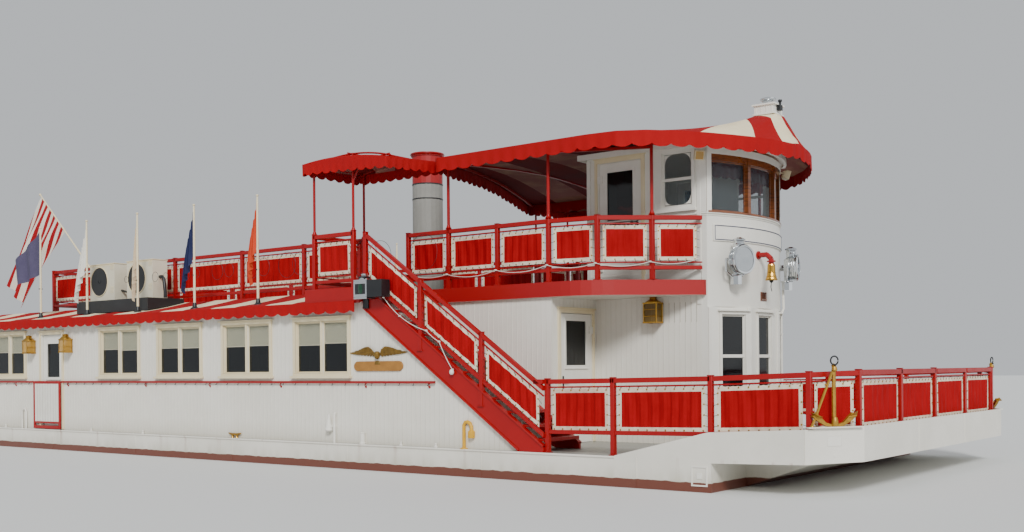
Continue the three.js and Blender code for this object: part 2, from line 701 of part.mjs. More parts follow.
// Canopy over the forward upper deck, drawn up to the cupola over the tower. It is an arch aft and
// a tent in front. Its aft edge runs slantwise, from the starboard rail back to the port landing.
// Rings from aft: [x at the starboard rim, half width, crown height, share of tent, port lag, port width]
const CANOPY = [
  [4400, 2570, 5340, 0.4, 2000, 2570], [4530, 2950, 5345, 0.4, 2000, 2570],
  [5400, 2950, 5410, 0.4, 990, 2570], [5490, 2950, 5415, 0.4, 970, 2830],
  [6640, 2950, 5530, 0.6], [7600, 2950, 5590, 0.8], [8100, 2890, 5620, 1], [8500, 2660, 5660, 1],
  [8880, 2230, 5740, 1], [9100, 1900, 5790, 1], [9330, 1480, 5790, 1], [9440, 1250, 5785, 1],
  [9530, 1060, 5600, 1], [9640, 730, 5420, 1], [9710, 450, 5330, 1], [9750, 220, 5250, 1],
];
const SHEET = 25;
const ARCH_STEPS = 8;
const TENT_FLAT = 0.12;

// One ring of the canopy, pulled in by `inset`, with its ends down to `foot`
function archPoints([x, half, crown, tent = 0, lag = 0, port = half], foot, inset = 0) {
  const points = [];
  for (let i = 0; i <= ARCH_STEPS; i += 1) {
    const share = -1 + (2 * i) / ARCH_STEPS;
    const slope = 1 - Math.max(0, Math.abs(share) - TENT_FLAT) / (1 - TENT_FLAT);
    const rise = tent * slope + (1 - tent) * (1 - share ** 2);
    const wide = (share < 0 ? half : port) - inset;
    points.push([x - (lag * (share + 1)) / 2, wide * share, EAVE - inset + (crown - EAVE) * rise]);
  }
  const [first, last] = [points[0], points.at(-1)];
  return [[first[0], first[1], foot], ...points, [last[0], last[1], foot]].reverse();
}

// The space under the canopy, lowered by `drop`
function underCanopy(drop) {
  const last = CANOPY.length - 1;
  return loft(CANOPY.map(([x, ...ring], i) => {
    const at = i === 0 ? x - 50 : x - (i === last ? SHEET : 0);
    return archPoints([at, ...ring], EAVE - VALANCE - 50, SHEET).map(([px, py, pz]) => [px, py, pz - drop]);
  }));
}

function canopy() {
  return cut(loft(CANOPY.map((ring) => archPoints(ring, EAVE - VALANCE))), underCanopy(0));
}

// Tube frame under the canopy: side bars on the tall posts, a bow across at each pair, and a
// slanting bow under the aft edge
const TUBE = 40;
const SLANT = [[4560, -2640], [2560, 2500]];

function canopyFrame() {
  const under = solid(underCanopy(GAP));
  const below = solid(underCanopy(GAP + TUBE));
  const parts = TALL_POSTS.flatMap(([x, y]) => {
    const slab = box(x - TUBE / 2, x + TUBE / 2, -y - TUBE / 2, y + TUBE / 2, POST_TOP, 6000);
    const legs = [-1, 1].map((sign) => {
      return box(x - TUBE / 2, x + TUBE / 2, sign * (y - TUBE / 2), sign * (y + TUBE / 2), POST_TOP, 6000);
    });
    return [under.intersect(solid(slab)).subtract(below), under.intersect(join(legs[0], legs[1]))];
  });
  const bars = [-1, 1].flatMap((sign) => TALL_POSTS.slice(1).map(([x, y], i) => {
    const [x0, y0] = TALL_POSTS[i];
    const level = [POST_TOP, POST_TOP];
    return strip([x0, sign * y0], [x, sign * y], level, level.map((z) => z + TUBE), TUBE);
  }));
  const slant = strip(...SLANT, [POST_TOP, POST_TOP], [6000, 6000], TUBE);
  return join(parts, bars, under.intersect(solid(slant)).subtract(below));
}

// Small humped canopy over each landing, on four posts that stand on the rail posts
const HUMP = { aft: 2400, fore: 4394, inner: 2600, out: 4000, rise: 130, steps: 8 };

function humpTop(x, inset) {
  const middle = (HUMP.aft + HUMP.fore) / 2;
  const share = (x - middle) / ((HUMP.fore - HUMP.aft) / 2);
  return EAVE + HUMP.rise * (1 - share ** 2) - inset;
}

function humpOutline(inset) {
  const [a, b] = [HUMP.aft + inset, HUMP.fore - inset];
  const top = Array.from({ length: HUMP.steps + 1 }, (_, i) => {
    const x = b + ((a - b) * i) / HUMP.steps;
    return [x, humpTop(x, inset)];
  });
  const foot = EAVE - VALANCE - inset * 2;
  return [[a, foot], [b, foot], ...top];
}

function landingCanopy(sign) {
  const { inner, out } = HUMP;
  const shell = cut(
    side(humpOutline(0), sign * inner, sign * out),
    side(humpOutline(SHEET), sign * (inner - 50), sign * (out - SHEET)),
  );
  const feet = [
    ...LANDING.posts.map((x) => [x, LANDING.rail, LANDING.top]),
    [AFT_POSTS.at(-1), railY, UPPER + RAIL_UP],
  ];
  const posts = feet.map(([x, y, base]) => post([x, sign * y], base, humpTop(x, SHEET / 2), 44));
  return join(shell, posts);
}

piece("canopy_main", canopy(), cloth);
piece("canopy_frame", canopyFrame(), red);
for (const [name, sign] of SIDES) {
  piece(`canopy_landing_${name}`, landingCanopy(sign), cloth);
}

// Funnel and the small cupola with its chimney
const FUNNEL = { x: 1740, radius: 310, wall: 14, tall: 3010, flange: 400 };
const CUPOLA = { x: 9230, half: 170, foot: 5790, top: 5940 };

function funnel() {
  const { x, radius, wall, tall, flange } = FUNNEL;
  const profile = [
    [radius - wall, 0], [flange, 0], [flange, 25], [radius, 25], [radius, tall - 60],
    [radius + 20, tall - 60], [radius + 20, tall], [radius - wall, tall], [radius - wall, 0],
  ];
  return turned(profile, [x, 0, UPPER + GAP], AXIS_Z, 20);
}

function cupola() {
  const { x, half, foot, top } = CUPOLA;
  const spin = [[0, 0], [90, 0], [90, 70], [125, 85], [125, 110], [60, 135], [0, 140]];
  return join(
    box(x - half, x + half, -half, half, foot + GAP, top),
    box(x - half - 30, x + half + 30, -half - 30, half + 30, top - 10, top + 15),
    turned(spin, [x, 0, top + 10], AXIS_Z, 16),
  );
}
piece("funnel", funnel(), grey);
piece("cupola", cupola(), white);

// Two condensers on one dark base that follows the roof's slope
const CONDENSERS = { y0: 2760, y1: 3640, flat: 3170, wide: 900, deep: 350, tall: 800, x: [-4600, -3250] };

function condensers() {
  const { y0, y1, flat, wide, deep, tall, x } = CONDENSERS;
  const section = [
    [-y1, roofHeight(y1) + GAP], [-y0, roofHeight(y0) + GAP], [-y0, flat], [-y1, flat],
  ];
  const middle = -(y0 + y1) / 2;
  const units = x.map((at) => {
    return box(at - wide / 2, at + wide / 2, middle - deep / 2, middle + deep / 2, flat - 10, flat + tall);
  });
  return join(face(section, x[0] - wide / 2 - 100, x[1] + wide / 2 + 200), units);
}
piece("condensers", condensers(), grey);

// Anchors on the two bow corners: u runs along the corner plate, from the side to the front
const ANCHOR = { shank: 26, arm: 325, lift: 150, foot: 885.5, top: 1670, stock: 18, inset: 8 };

function anchor(sign) {
  const { shank, arm, lift, foot, top, stock, inset } = ANCHOR;
  const run = Math.hypot(FRONT[0] - CORNER[0], FRONT[1] - CORNER[1]);
  const along = [(FRONT[0] - CORNER[0]) / run, (FRONT[1] - CORNER[1]) / run];
  const spot = (u, z) => {
    const across = [along[1] * inset, -along[0] * inset];
    const [x, y] = [0, 1].map((k) => (CORNER[k] + FRONT[k]) / 2 + across[k] + along[k] * u);
    return [x, sign * y, z];
  };
  const shares = [-1, -0.8, -0.4, 0, 0.4, 0.8, 1];
  const lower = shares.map((t) => [arm * (1 + t), foot + lift * t * t]);
  const upper = [[1.8, 1.6], [1.4, 0.75], [1, 0.5], [0.6, 0.75], [0.2, 1.6]]
    .map(([t, up]) => [arm * t, foot + 60 * up + lift * (t - 1) ** 2]);
  return join(
    upright(spot(-arm), spot(arm), [...lower, ...upper], 44),
    rod(spot(0, foot + 20), spot(0, top), shank, 6),
    turned([[0, -34], [34, 0], [0, 34]], spot(0, top), AXIS_Z, 6),
    rod(spot(0, top - 30), spot(-330, foot), stock, 6),
  );
}

// Fittings on the tower's front, each on its own corner of the round skirt. Turns are counted in
// sixths of the arc from its middle, because the arc has twelve flats.
function onSkirt(sixths, out, z) {
  const { radius, centre, end } = frontArc();
  const turn = (end * sixths) / 6;
  return [centre + (radius + out) * Math.cos(turn), (radius + out) * Math.sin(turn), z];
}

const LAMP = { sixths: 4, z: 3350, radius: 225 };

function searchlight(sign) {
  const corner = sign * LAMP.sixths;
  const at = (out, up) => onSkirt(corner, out, LAMP.z + up);
  const turn = (frontArc().end * corner) / 6;
  const out = new THREE.Vector3(Math.cos(turn), Math.sin(turn), 0);
  const drum = [[0, 0], [150, 20], [200, 90], [LAMP.radius, 210], [LAMP.radius, 240], [0, 240]];
  const vent = [[0, 0], [80, 0], [80, 110], [100, 120], [100, 145], [50, 175], [0, 175]];
  return join(
    turned(drum, at(60, 0), out, 16),
    rod(at(GAP, 0), at(90, 0), 50, 8),
    rod(at(120, -385), at(120, -225), 95, 8),
    rod(at(120, -235), at(120, -100), 50, 8),
    turned(vent, at(190, 180), AXIS_Z, 12),
  );
}

// Bell under a pipe elbow with a flange at each end
const BELL = { sixths: -1, z: 3330, out: 240, pipe: 42, flange: 70 };

function bell() {
  const { sixths, z, out, pipe, flange } = BELL;
  const at = (distance, height) => onSkirt(sixths, distance, height);
  const high = z + 150;
  const profile = [[0, 0], [55, -5], [62, -40], [68, -150], [80, -215], [97, -262], [97, -275], [0, -275]];
  return join(
    rod(at(GAP, high), at(20, high), flange, 12),
    rod(at(10, high), at(out - 75, high), pipe, 10),
    rod(at(out - 80, high), at(out, high - 75), pipe, 10),
    rod(at(out, high - 70), at(out, z - 20), pipe, 10),
    rod(at(out, z + 25), at(out, z + 45), flange, 12),
    turned(profile.reverse(), at(out, z), AXIS_Z, 16),
  );
}

function sidelight(sign) {
  const span = (a, b) => [sign * a, sign * b];
  const skin = STAIR.out + GAP;
  return join(
    box(3820, 3940, ...span(skin, skin + 22), 2680, 2960),
    box(3805, 4100, ...span(skin + 18, skin + 210), 2830, 3140),
    box(4090, 4430, ...span(skin + 18, skin + 210), 2850, 3130),
    box(3880, 4020, ...span(skin + 50, skin + 180), 3130, 3200),
  );
}

for (const [name, sign] of SIDES) {
  piece(`anchor_${name}`, anchor(sign), brass);
  piece(`searchlight_${name}`, searchlight(sign), chrome);
  piece(`sidelight_${name}`, sidelight(sign), black);
}
piece("bell", bell(), brass);
piece("engine", box(-9200, -7000, -600, 600, DECK, 1730), grey);

// Stern wheels
const WHEEL = { x: -11700, z: 1000, radius: 1450, rim: 1340, in: 230, out: 3570, paddles: 12 };
const SHAFT = { radius: 90, hub: 90.7, bearing: 90.8, sides: 16, bearingSides: 32 };
const ARM = { half: 100, out: 3800, end: -12000, top: 1200, tail: 760 };

function shaft(radius, y0, y1, sides = SHAFT.sides) {
  return rod([WHEEL.x, y0, WHEEL.z], [WHEEL.x, y1, WHEEL.z], radius, sides);
}

function wheelFrame() {
  const profile = [
    [CABIN_AFT - 10, DECK], [CABIN_AFT - 10, 950], [WHEEL.x + 350, ARM.top], [ARM.end, ARM.top],
    [ARM.end, ARM.tail], [STERN, DECK],
  ];
  const arms = [-ARM.out, 0, ARM.out].map((y) => side(profile, y - ARM.half, y + ARM.half));
  const beam = box(STERN + 20, CABIN_AFT - 30, -ARM.out, ARM.out, DECK, 800);
  return cut(join(arms, beam), shaft(SHAFT.bearing, -HALF_BEAM, HALF_BEAM, SHAFT.bearingSides));
}

// One flat spider of a wheel: hub, spokes and rim in a plate, and the spokes' tips past the rim
function spider(y) {
  const half = 25;
  const step = (2 * Math.PI) / WHEEL.paddles;
  const polar = (r, turn) => [WHEEL.x + r * Math.cos(turn), WHEEL.z + r * Math.sin(turn)];
  const corners = Array.from({ length: WHEEL.paddles }, (_, i) => polar(WHEEL.rim, i * step));
  const windows = corners.map((_, i) => {
    const [low, high] = [i * step, (i + 1) * step];
    const spoke = (r) => 35 / r;
    const inner = 240;
    const outer = WHEEL.rim - 75;
    return side([
      polar(inner, low + spoke(inner)), polar(outer, low + spoke(outer)),
      polar(outer, high - spoke(outer)), polar(inner, high - spoke(inner)),
    ], y - 60, y + 60);
  });
  const tips = corners.map((_, i) => {
    const tip = box(WHEEL.rim - 40, WHEEL.radius - 20, y - 20, y + 20, -35, 35);
    return tip.rotateY(-i * step).translate(WHEEL.x, 0, WHEEL.z);
  });
  return join(cut(side(corners, y - half, y + half), windows), tips);
}

function paddleWheel(sign) {
  const span = (a, b) => [sign * a, sign * b];
  const boards = Array.from({ length: WHEEL.paddles }, (_, i) => {
    const board = box(WHEEL.radius - 300, WHEEL.radius, ...span(WHEEL.in, WHEEL.out), -62, -30);
    return board.rotateY((-2 * Math.PI * i) / WHEEL.paddles).translate(WHEEL.x, 0, WHEEL.z);
  });
  const spiders = [WHEEL.in + 200, WHEEL.out - 200].map((y) => spider(sign * y));
  return cut(join(spiders, boards), shaft(SHAFT.hub, sign * 100, sign * 3700));
}

function rudder(sign) {
  const y = sign * RUDDER.y;
  return join(
    rod([RUDDER.x, y, -700], [RUDDER.x, y, RUDDER.top - GAP], RUDDER.stock, 16),
    box(-9950, -8900, y - 25, y + 25, -720, -300),
  );
}

piece("wheel_frame", wheelFrame(), red);
for (const [name, sign] of SIDES) {
  piece(`paddle_wheel_${name}`, paddleWheel(sign), red);
  piece(`wheel_shaft_${name}`, shaft(SHAFT.radius, sign * 15, sign * (ARM.out + ARM.half)), grey);
  piece(`rudder_${name}`, rudder(sign), black);
}

export default boat;
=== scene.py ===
# %% [markdown]
# # A stern-wheel paddle steamer
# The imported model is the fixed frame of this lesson: every wall, deck and wheel is already in its
# place, in metres, with the water's surface at z = 0. Each step below dresses one part of the boat.

# %% Load the frame
import json
import random
from functools import partialmethod
from math import asin, atan, atan2, ceil, cos, degrees, floor, pi, radians, sin
import bpy
import bmesh
from mathutils import Matrix, Vector

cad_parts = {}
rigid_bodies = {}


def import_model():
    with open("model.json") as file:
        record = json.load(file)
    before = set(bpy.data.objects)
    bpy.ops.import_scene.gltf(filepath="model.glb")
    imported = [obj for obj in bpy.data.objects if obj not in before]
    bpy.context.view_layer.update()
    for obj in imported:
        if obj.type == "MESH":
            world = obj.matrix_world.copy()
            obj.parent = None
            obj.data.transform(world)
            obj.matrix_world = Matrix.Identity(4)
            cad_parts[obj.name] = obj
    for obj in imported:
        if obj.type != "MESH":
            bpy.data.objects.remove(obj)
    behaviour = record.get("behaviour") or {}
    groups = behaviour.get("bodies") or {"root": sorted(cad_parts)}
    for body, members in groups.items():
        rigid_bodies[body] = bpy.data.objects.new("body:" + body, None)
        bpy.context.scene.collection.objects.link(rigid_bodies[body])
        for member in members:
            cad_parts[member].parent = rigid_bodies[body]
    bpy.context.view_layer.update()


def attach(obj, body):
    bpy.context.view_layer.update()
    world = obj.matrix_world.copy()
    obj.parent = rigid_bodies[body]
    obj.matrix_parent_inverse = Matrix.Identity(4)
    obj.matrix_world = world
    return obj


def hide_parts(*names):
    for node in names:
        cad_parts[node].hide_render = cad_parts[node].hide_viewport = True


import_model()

# %% [markdown]
# ## Camera, light and basin floor
# The boat is seen from a low quay, off its starboard bow, and a level camera keeps every post
# upright. Its vertical shift lowers the horizon without tilting it. Two soft suns and a pale sky
# stand in for an overcast day, and the floor lies where the water's surface would be.

# %% Camera
BEARING, ROLL = radians(37.51), radians(-0.5)


def xyz(x, y, z=0.0):
    return Vector((x, y, z))


def up(height):
    return Vector((0, 0, height))


def show(name, data):
    """An object in the scene, at the origin."""
    shown = bpy.data.objects.new(name, data)
    bpy.context.collection.objects.link(shown)
    return shown


ahead, right = xyz(-sin(BEARING), cos(BEARING)), xyz(cos(BEARING), sin(BEARING))
columns = Matrix((right * cos(ROLL) + up(sin(ROLL)), up(cos(ROLL)) - right * sin(ROLL), -ahead)).transposed()
quay_view = bpy.data.cameras.new("quay_view")
quay_view.lens = 40.27
quay_view.sensor_width = 36
quay_view.shift_y = 0.0993
quay_view.clip_end = 500
quay_camera = show("quay_camera", quay_view)
quay_camera.matrix_world = Matrix.Translation((17.33, -17.53, 1.68)) @ columns.to_4x4()
bpy.context.scene.camera = quay_camera
print("camera looks along", tuple(round(v, 3) for v in ahead))


# %% Colour and node helpers
def linear(code, alpha=1.0):
    """A colour given as sRGB hex, as the shader wants it."""
    parts = [int(code[i:i + 2], 16) / 255 for i in (0, 2, 4)]
    return [c / 12.92 if c < 0.04045 else ((c + 0.055) / 1.055) ** 2.4 for c in parts] + [alpha]


def add(tree, kind, sockets=None, **settings):
    """Add one node: its settings first, then its sockets, each a value, or the output or node it follows."""
    node = tree.nodes.new(kind)
    for key, value in settings.items():
        setattr(node, key, value)
    for key, value in (sockets or {}).items():
        value = getattr(value, "socket", value)
        value = value.outputs[0] if isinstance(value, bpy.types.Node) else value
        if isinstance(value, bpy.types.NodeSocket):
            tree.links.new(value, node.inputs[key])
        else:
            node.inputs[key].default_value = value
    return node


# %% Light and floor
sky = bpy.data.worlds.new("pale_sky")
sky.use_nodes = True
sky.node_tree.nodes["Background"].inputs["Color"].default_value = linear("E6EAEE")
sky.node_tree.nodes["Background"].inputs["Strength"].default_value = 0.75
bpy.context.scene.world = sky
for name, strength, angle, turn in (("high_sun", 2.9, 14, (56, 0, 40)), ("fill_sun", 0.5, 60, (62, 0, 100))):
    lamp = bpy.data.lights.new(name, "SUN")
    lamp.energy = strength
    lamp.angle = radians(angle)
    show(name, lamp).rotation_euler = [radians(a) for a in turn]
basin = bpy.data.meshes.new("basin_floor")
basin.from_pydata([(-150, -150, 0), (150, -150, 0), (150, 150, 0), (-150, 150, 0)], [], [(0, 1, 2, 3)])
pale = bpy.data.materials.new("pale_plaster_floor")
pale.use_nodes = True
pale.node_tree.nodes["Principled BSDF"].inputs["Base Color"].default_value = linear("D9DAD8")
pale.node_tree.nodes["Principled BSDF"].inputs["Roughness"].default_value = 0.75
basin.materials.append(pale)
show("basin_floor", basin)
print("floor at z = 0")

# %% [markdown]
# ## Finishes
# Each finish starts from the real one: brushed marine enamel over steel, sewn awning canvas,
# varnished oak. Patterns are laid on Object coordinates, which are metres here, so a groove or a
# thread keeps its true size. One starter function gives every finish its mottling, and a bump where one is asked
# for.

# %% A starter for every finish
finishes = {}


class Value:
    """What a node gives; arithmetic on it lays more Math nodes in the same tree."""

    def __init__(self, tree, given):
        self.tree, self.socket = tree, getattr(given, "outputs", [given])[0]

    def math(self, operation, *others):
        return Value(self.tree, add(self.tree, "ShaderNodeMath", dict(enumerate((self, *others))),
            operation=operation))

    def ramp(self, low, high, to_low=0.0, to_high=1.0):
        sockets = {"Value": self, "From Min": low, "From Max": high, "To Min": to_low, "To Max": to_high}
        return Value(self.tree, add(self.tree, "ShaderNodeMapRange", sockets).outputs["Result"])


for name, operation in (("add", "ADD"), ("sub", "SUBTRACT"), ("mul", "MULTIPLY"), ("truediv", "DIVIDE"),
        ("gt", "GREATER_THAN"), ("lt", "LESS_THAN"), ("abs", "ABSOLUTE")):
    setattr(Value, f"__{name}__", partialmethod(Value.math, operation))


def axes(tree, vector):
    return [Value(tree, socket) for socket in add(tree, "ShaderNodeSeparateXYZ", {"Vector": vector}).outputs]


def facing_axes(tree, kind="Normal"):
    return axes(tree, add(tree, "ShaderNodeNewGeometry").outputs[kind])


def finish(name, colour, worn, rough, grain=3.0, share=0.35, bump=0.0, bump_grain=40.0, **plain):
    """A finish whose colour drifts between two tones; `grain` is patches per metre."""
    material = bpy.data.materials.new(name)
    material.use_nodes = True
    tree = material.node_tree
    shader = tree.nodes["Principled BSDF"]
    place = add(tree, "ShaderNodeTexCoord").outputs["Object"]
    patches = add(tree, "ShaderNodeTexNoise", {"Vector": place, "Scale": grain, "Detail": 6.0,
        "Roughness": 0.62})
    patches = Value(tree, patches)
    tone = {0: patches.ramp(0.38, 0.72, 0.0, share), 6: linear(colour), 7: linear(worn)}
    tree.links.new(add(tree, "ShaderNodeMix", tone, data_type="RGBA").outputs[2], shader.inputs["Base Color"])
    tree.links.new(patches.ramp(0.3, 0.7, rough - 0.06, rough + 0.08).socket, shader.inputs["Roughness"])
    if bump:
        fine = add(tree, "ShaderNodeTexNoise", {"Vector": place, "Scale": bump_grain, "Detail": 3.0})
        relief = add(tree, "ShaderNodeBump", {"Height": fine.outputs["Fac"], "Strength": bump,
            "Distance": 0.004})
        tree.links.new(relief.outputs["Normal"], shader.inputs["Normal"])
    for socket, value in plain.items():
        shader.inputs[socket.replace("_", " ")].default_value = value
    finishes[name] = material
    return tree, shader, place


def tint(shader, mask, code):
    """Lay another colour over what the shader has, where the mask is 1."""
    below = shader.inputs["Base Color"].links[0].from_socket
    over = add(shader.id_data, "ShaderNodeMix", {0: mask, 6: below, 7: linear(code)}, data_type="RGBA")
    shader.id_data.links.new(over.outputs[2], shader.inputs["Base Color"])


# %% Plain enamels and metals
# Marine enamel over primed steel: satin, with brush drag a few millimetres wide.
finish("red_marine_enamel", "9E0408", "7C0508", 0.36, grain=1.6, bump=0.12, bump_grain=120,
    Specular_IOR_Level=0.35)
finish("cream_trim_enamel", "E6D8B4", "D3C194", 0.45, grain=4, bump=0.1)
finish("white_trim_enamel", "E9E6DC", "D5D0C2", 0.45, grain=4, bump=0.1)
finish("yellow_safety_enamel", "D9A520", "B5861B", 0.4, grain=6, bump=0.1)
finish("black_enamel", "15171A", "2A2B2C", 0.38, grain=5, bump=0.1)
# Polished and lacquered brass: yellow metal with faint brown tarnish in patches of a few centimetres.
finish("lacquered_brass", "C79A45", "8A6528", 0.24, grain=9, share=0.5, Metallic=1.0)
# Gold bronze paint is not metal to the eye's edge: rough, warm, with dull hollows.
finish("gold_bronze_paint", "B98F38", "7A5B1E", 0.42, grain=14, share=0.6, bump=0.25, bump_grain=60,
    Metallic=0.65)
finish("carved_bronze", "8A6A2C", "54401A", 0.45, grain=16, share=0.7, bump=0.3, bump_grain=60, Metallic=0.6)
finish("chromed_brass", "D5D8DA", "B9BEC2", 0.1, grain=6, share=0.3, Metallic=1.0)
finish("machinery_grey_paint", "8F9490", "6E726E", 0.5, grain=3, bump=0.15)
finish("galvanised_tube", "A9ACAC", "8C8F90", 0.42, grain=22, Metallic=0.8)
# Roller-blind cloth: olive beige, matt, so the upper half of each window reads as a pale block.
finish("roller_blind_cloth", "A39C78", "8F8864", 0.9, grain=2, bump=0.3, bump_grain=260)
finish("scalloped_curtain_cloth", "4A0C12", "35080C", 0.9, grain=6, bump=0.3, bump_grain=200)
finish("braided_white_cord", "DEDCD2", "BDBAAE", 0.8, grain=30, bump=0.3, bump_grain=300)
finish("creosoted_plank", "8C1D1C", "5B2420", 0.62, grain=2.2, share=0.7, bump=0.35, bump_grain=30)
# The near-black pane glass is painted shade: it stands for the unlit rooms seen through lower panes, door panes and
# the bay.
finish("dark_window_glass", "0C0F11", "15191B", 0.07, grain=1, Alpha=0.82)
finish("clear_window_glass", "AEB6B4", "9AA3A2", 0.07, grain=1, Alpha=0.16)
finish("lantern_glass", "C99A3E", "9A6E22", 0.08, grain=8, Alpha=0.7)
finish("wheelhouse_glass", "56646C", "4A575E", 0.05, grain=1, Alpha=0.22)
finish("green_signal_glass", "0A3A24", "07281A", 0.06, grain=3)
finish("red_signal_glass", "8A0F12", "6B0B0E", 0.06, grain=3)
for name in ("dark_window_glass", "clear_window_glass", "lantern_glass", "wheelhouse_glass"):
    finishes[name].surface_render_method = "BLENDED"
print(len(finishes), "plain finishes")

# %% [markdown]
# The hull's white is the same enamel, but it tells where it has been: a red-brown boot-top at the
# water, rust running down from the deck edge, and a grey non-skid paint on everything that is
# walked on. All three follow the height of the surface, so the finish needs no picture.

# %% Hull and wall paint
RED_ENAMEL = "9E0408"
tree, shader, place = finish("weathered_hull_enamel", "E7E3D8", "CBC7B8", 0.42, grain=0.9, share=0.5,
    bump=0.2, bump_grain=9)
x, y, z = axes(tree, place)
drawn_down = add(tree, "ShaderNodeMapping", {"Vector": place, "Scale": (5.0, 5.0, 0.35)})
streaks = add(tree, "ShaderNodeTexNoise", {"Vector": drawn_down, "Scale": 1.0, "Detail": 5.0}).outputs["Fac"]
streaks = Value(tree, streaks)
rust = streaks.ramp(0.6, 0.74) * z.ramp(0.12, 0.42) * z.ramp(0.46, 0.43)
tint(shader, rust * 0.55, "8A4A22")
tint(shader, z.ramp(0.32, 0.12) * streaks.ramp(0.35, 0.7, 0.1, 0.55), "9C9478")
tint(shader, (streaks * 0.05 + z).ramp(0.156, 0.148), "6B3A2C")
tint(shader, facing_axes(tree)[2].ramp(0.9, 0.97) * z.ramp(0.4, 0.425) * z.ramp(0.62, 0.6), "8C8B84")

# Tongue-and-groove boards 100 mm wide. The groove is 6 mm, drawn 12 mm so that it still shows.
BOARD = 0.1
tree, shader, place = finish("white_beadboard_enamel", "E9E5DA", "D6D1C2", 0.42, grain=1.4, share=0.4,
    bump=0.1)
x, y, z = axes(tree, place)
facing = facing_axes(tree, "True Normal")
run = (x - y) * (abs(facing[1]) > 0.6) + y
groove = abs(((run + 50.0) / BOARD).math("FRACT") - 0.5).ramp(0.44, 0.49) * abs(facing[2]).ramp(0.5, 0.2)
tint(shader, groove * 0.2, "A29C8A")
tint(shader, z.ramp(0.75, 0.45) * 0.35, "B9B19A")
# The hand rail is cast in one with the wall; it stands 5 mm or more in front of the boards.
tint(shader, abs(y) > 3.886, "96090C")
tint(shader, (x > 7.72) * z.ramp(2.375, 2.385) * z.ramp(2.702, 2.701) * (abs(y) > 1.354), "6E5520")
relief = add(tree, "ShaderNodeBump", {"Height": groove * -1.0 + 1.0, "Strength": 0.6, "Distance": 0.006,
    "Normal": shader.inputs["Normal"].links[0].from_socket})
tree.links.new(relief.outputs["Normal"], shader.inputs["Normal"])
finish("white_wall_enamel", "E9E6DC", "D8D3C6", 0.42, grain=1.3, bump=0.12, bump_grain=60)
# Galvanised roof and deck sheet, painted with grey non-skid above and white below.
tree, shader, place = finish("upper_deck_enamel", "E6E2D6", "CFCABB", 0.5, grain=1.2, bump=0.15)
z, upward = axes(tree, place)[2], facing_axes(tree)[2]
tint(shader, z.ramp(2.798, 2.802) * upward.ramp(-0.6, -0.4), RED_ENAMEL)
tint(shader, upward.ramp(0.9, 0.97), "7F817C")
print("hull and wall paints")

# %% [markdown]
# ## Cloth and wood finishes
# Awning canvas is a plain weave of about 1 mm threads, drawn at 4 mm here because a finer weave
# would vanish at this distance. Stripes are dyed strips sewn side by side, so each boundary is
# sharp. The big canopy's strips run out from its front peak instead.

# %% Canvas
STRIPE = 1.55
PEAK = (8.7, 0.0)
WHEELHOUSE_AFT = 7.3
HOIST_WAY = (0.802, 0.598)


def canvas(name, red, cream, stripes):
    tree, shader, place = finish(name, red, "8F1418", 0.82, grain=1.1, share=0.45, Specular_IOR_Level=0.2)
    x, y, z = axes(tree, place)
    if stripes:
        mask = stripes(x, y, z)
        tint(shader, mask, cream)
        grime = add(tree, "ShaderNodeTexNoise", {"Vector": place, "Scale": 2.3, "Detail": 4.0}).outputs["Fac"]
        tint(shader, mask * Value(tree, grime).ramp(0.45, 0.75) * 0.4, "C9B48C")
    weave = ((x + z) * 1570.0).math("SINE") * ((y + z) * 1570.0).math("SINE")
    relief = add(tree, "ShaderNodeBump", {"Height": weave, "Strength": 0.25, "Distance": 0.002})
    tree.links.new(relief.outputs["Normal"], shader.inputs["Normal"])


def cross_stripes(x, y, z):
    return ((x + 62.1) / STRIPE).math("FRACT") < 0.46


def slanting_bands(x, y, z):
    """Cross strips that lie like the canopy's aft edge there, and turn square towards the wheelhouse."""
    spread_out = (y * (0.5 / 2.75) + 0.5) * 0.909 + 1.0
    return (((x - 6.64) / spread_out + 95.86) / 0.94).math("FRACT") < 0.5


def gores(x, y, z):
    """Broad strips that fan out from the front peak, and slanting strips behind the wheelhouse."""
    turn = (y - PEAK[1]).math("ARCTAN2", x - PEAK[0])
    fan = ((turn * 1.038 + 21.462).math("FRACT") < 0.5) * (x > WHEELHOUSE_AFT)
    return fan + slanting_bands(x, y, z) * (x < WHEELHOUSE_AFT)


def flag_stripes(x, y, z):
    """Thirteen stripes along the fly of the flag on the leaning staff."""
    return ((x * HOIST_WAY[0] - z * HOIST_WAY[1]) * 4.74 + 60.0).math("FRACT") > 0.5


# The lining canvas is the awning cloth darkened: its deep red and grey-mauve strips are painted shade for the
# canopies' undersides.
for name, red, cream, stripes in (("striped_awning_canvas", "A3080F", "EBDDBB", cross_stripes),
        ("peaked_canopy_canvas", "9C070D", "EBDDBB", gores), ("canopy_lining_canvas", "5E080E", "94605A",
        slanting_bands), ("plain_red_canvas", "A3060D", None, None),
        ("cream_canvas_border", "E8DDC4", None, None), ("striped_bunting", "A0131C", "E6E0D2", flag_stripes)):
    canvas(name, red, cream, stripes)
# Flags are thin woven bunting, matt and slightly uneven.
for name, colour, worn in (("violet_bunting", "4C4560", "3A3450"), ("white_bunting", "E8E5DC", "CFCBBE"),
        ("buff_bunting", "DCC8A8", "BFA986"), ("navy_bunting", "1C2450", "141A3A"),
        ("orange_bunting", "D0441C", "A53413")):
    finish(name, colour, worn, 0.8, grain=5, bump=0.25, bump_grain=180)
# Banner cloth is a dyed plain weave; its folds are in the mesh.
finish("pleated_banner_cloth", "9E040D", "7A0309", 0.8, grain=3, bump=0.2, bump_grain=220,
    Specular_IOR_Level=0.15)
print("cloth finishes")

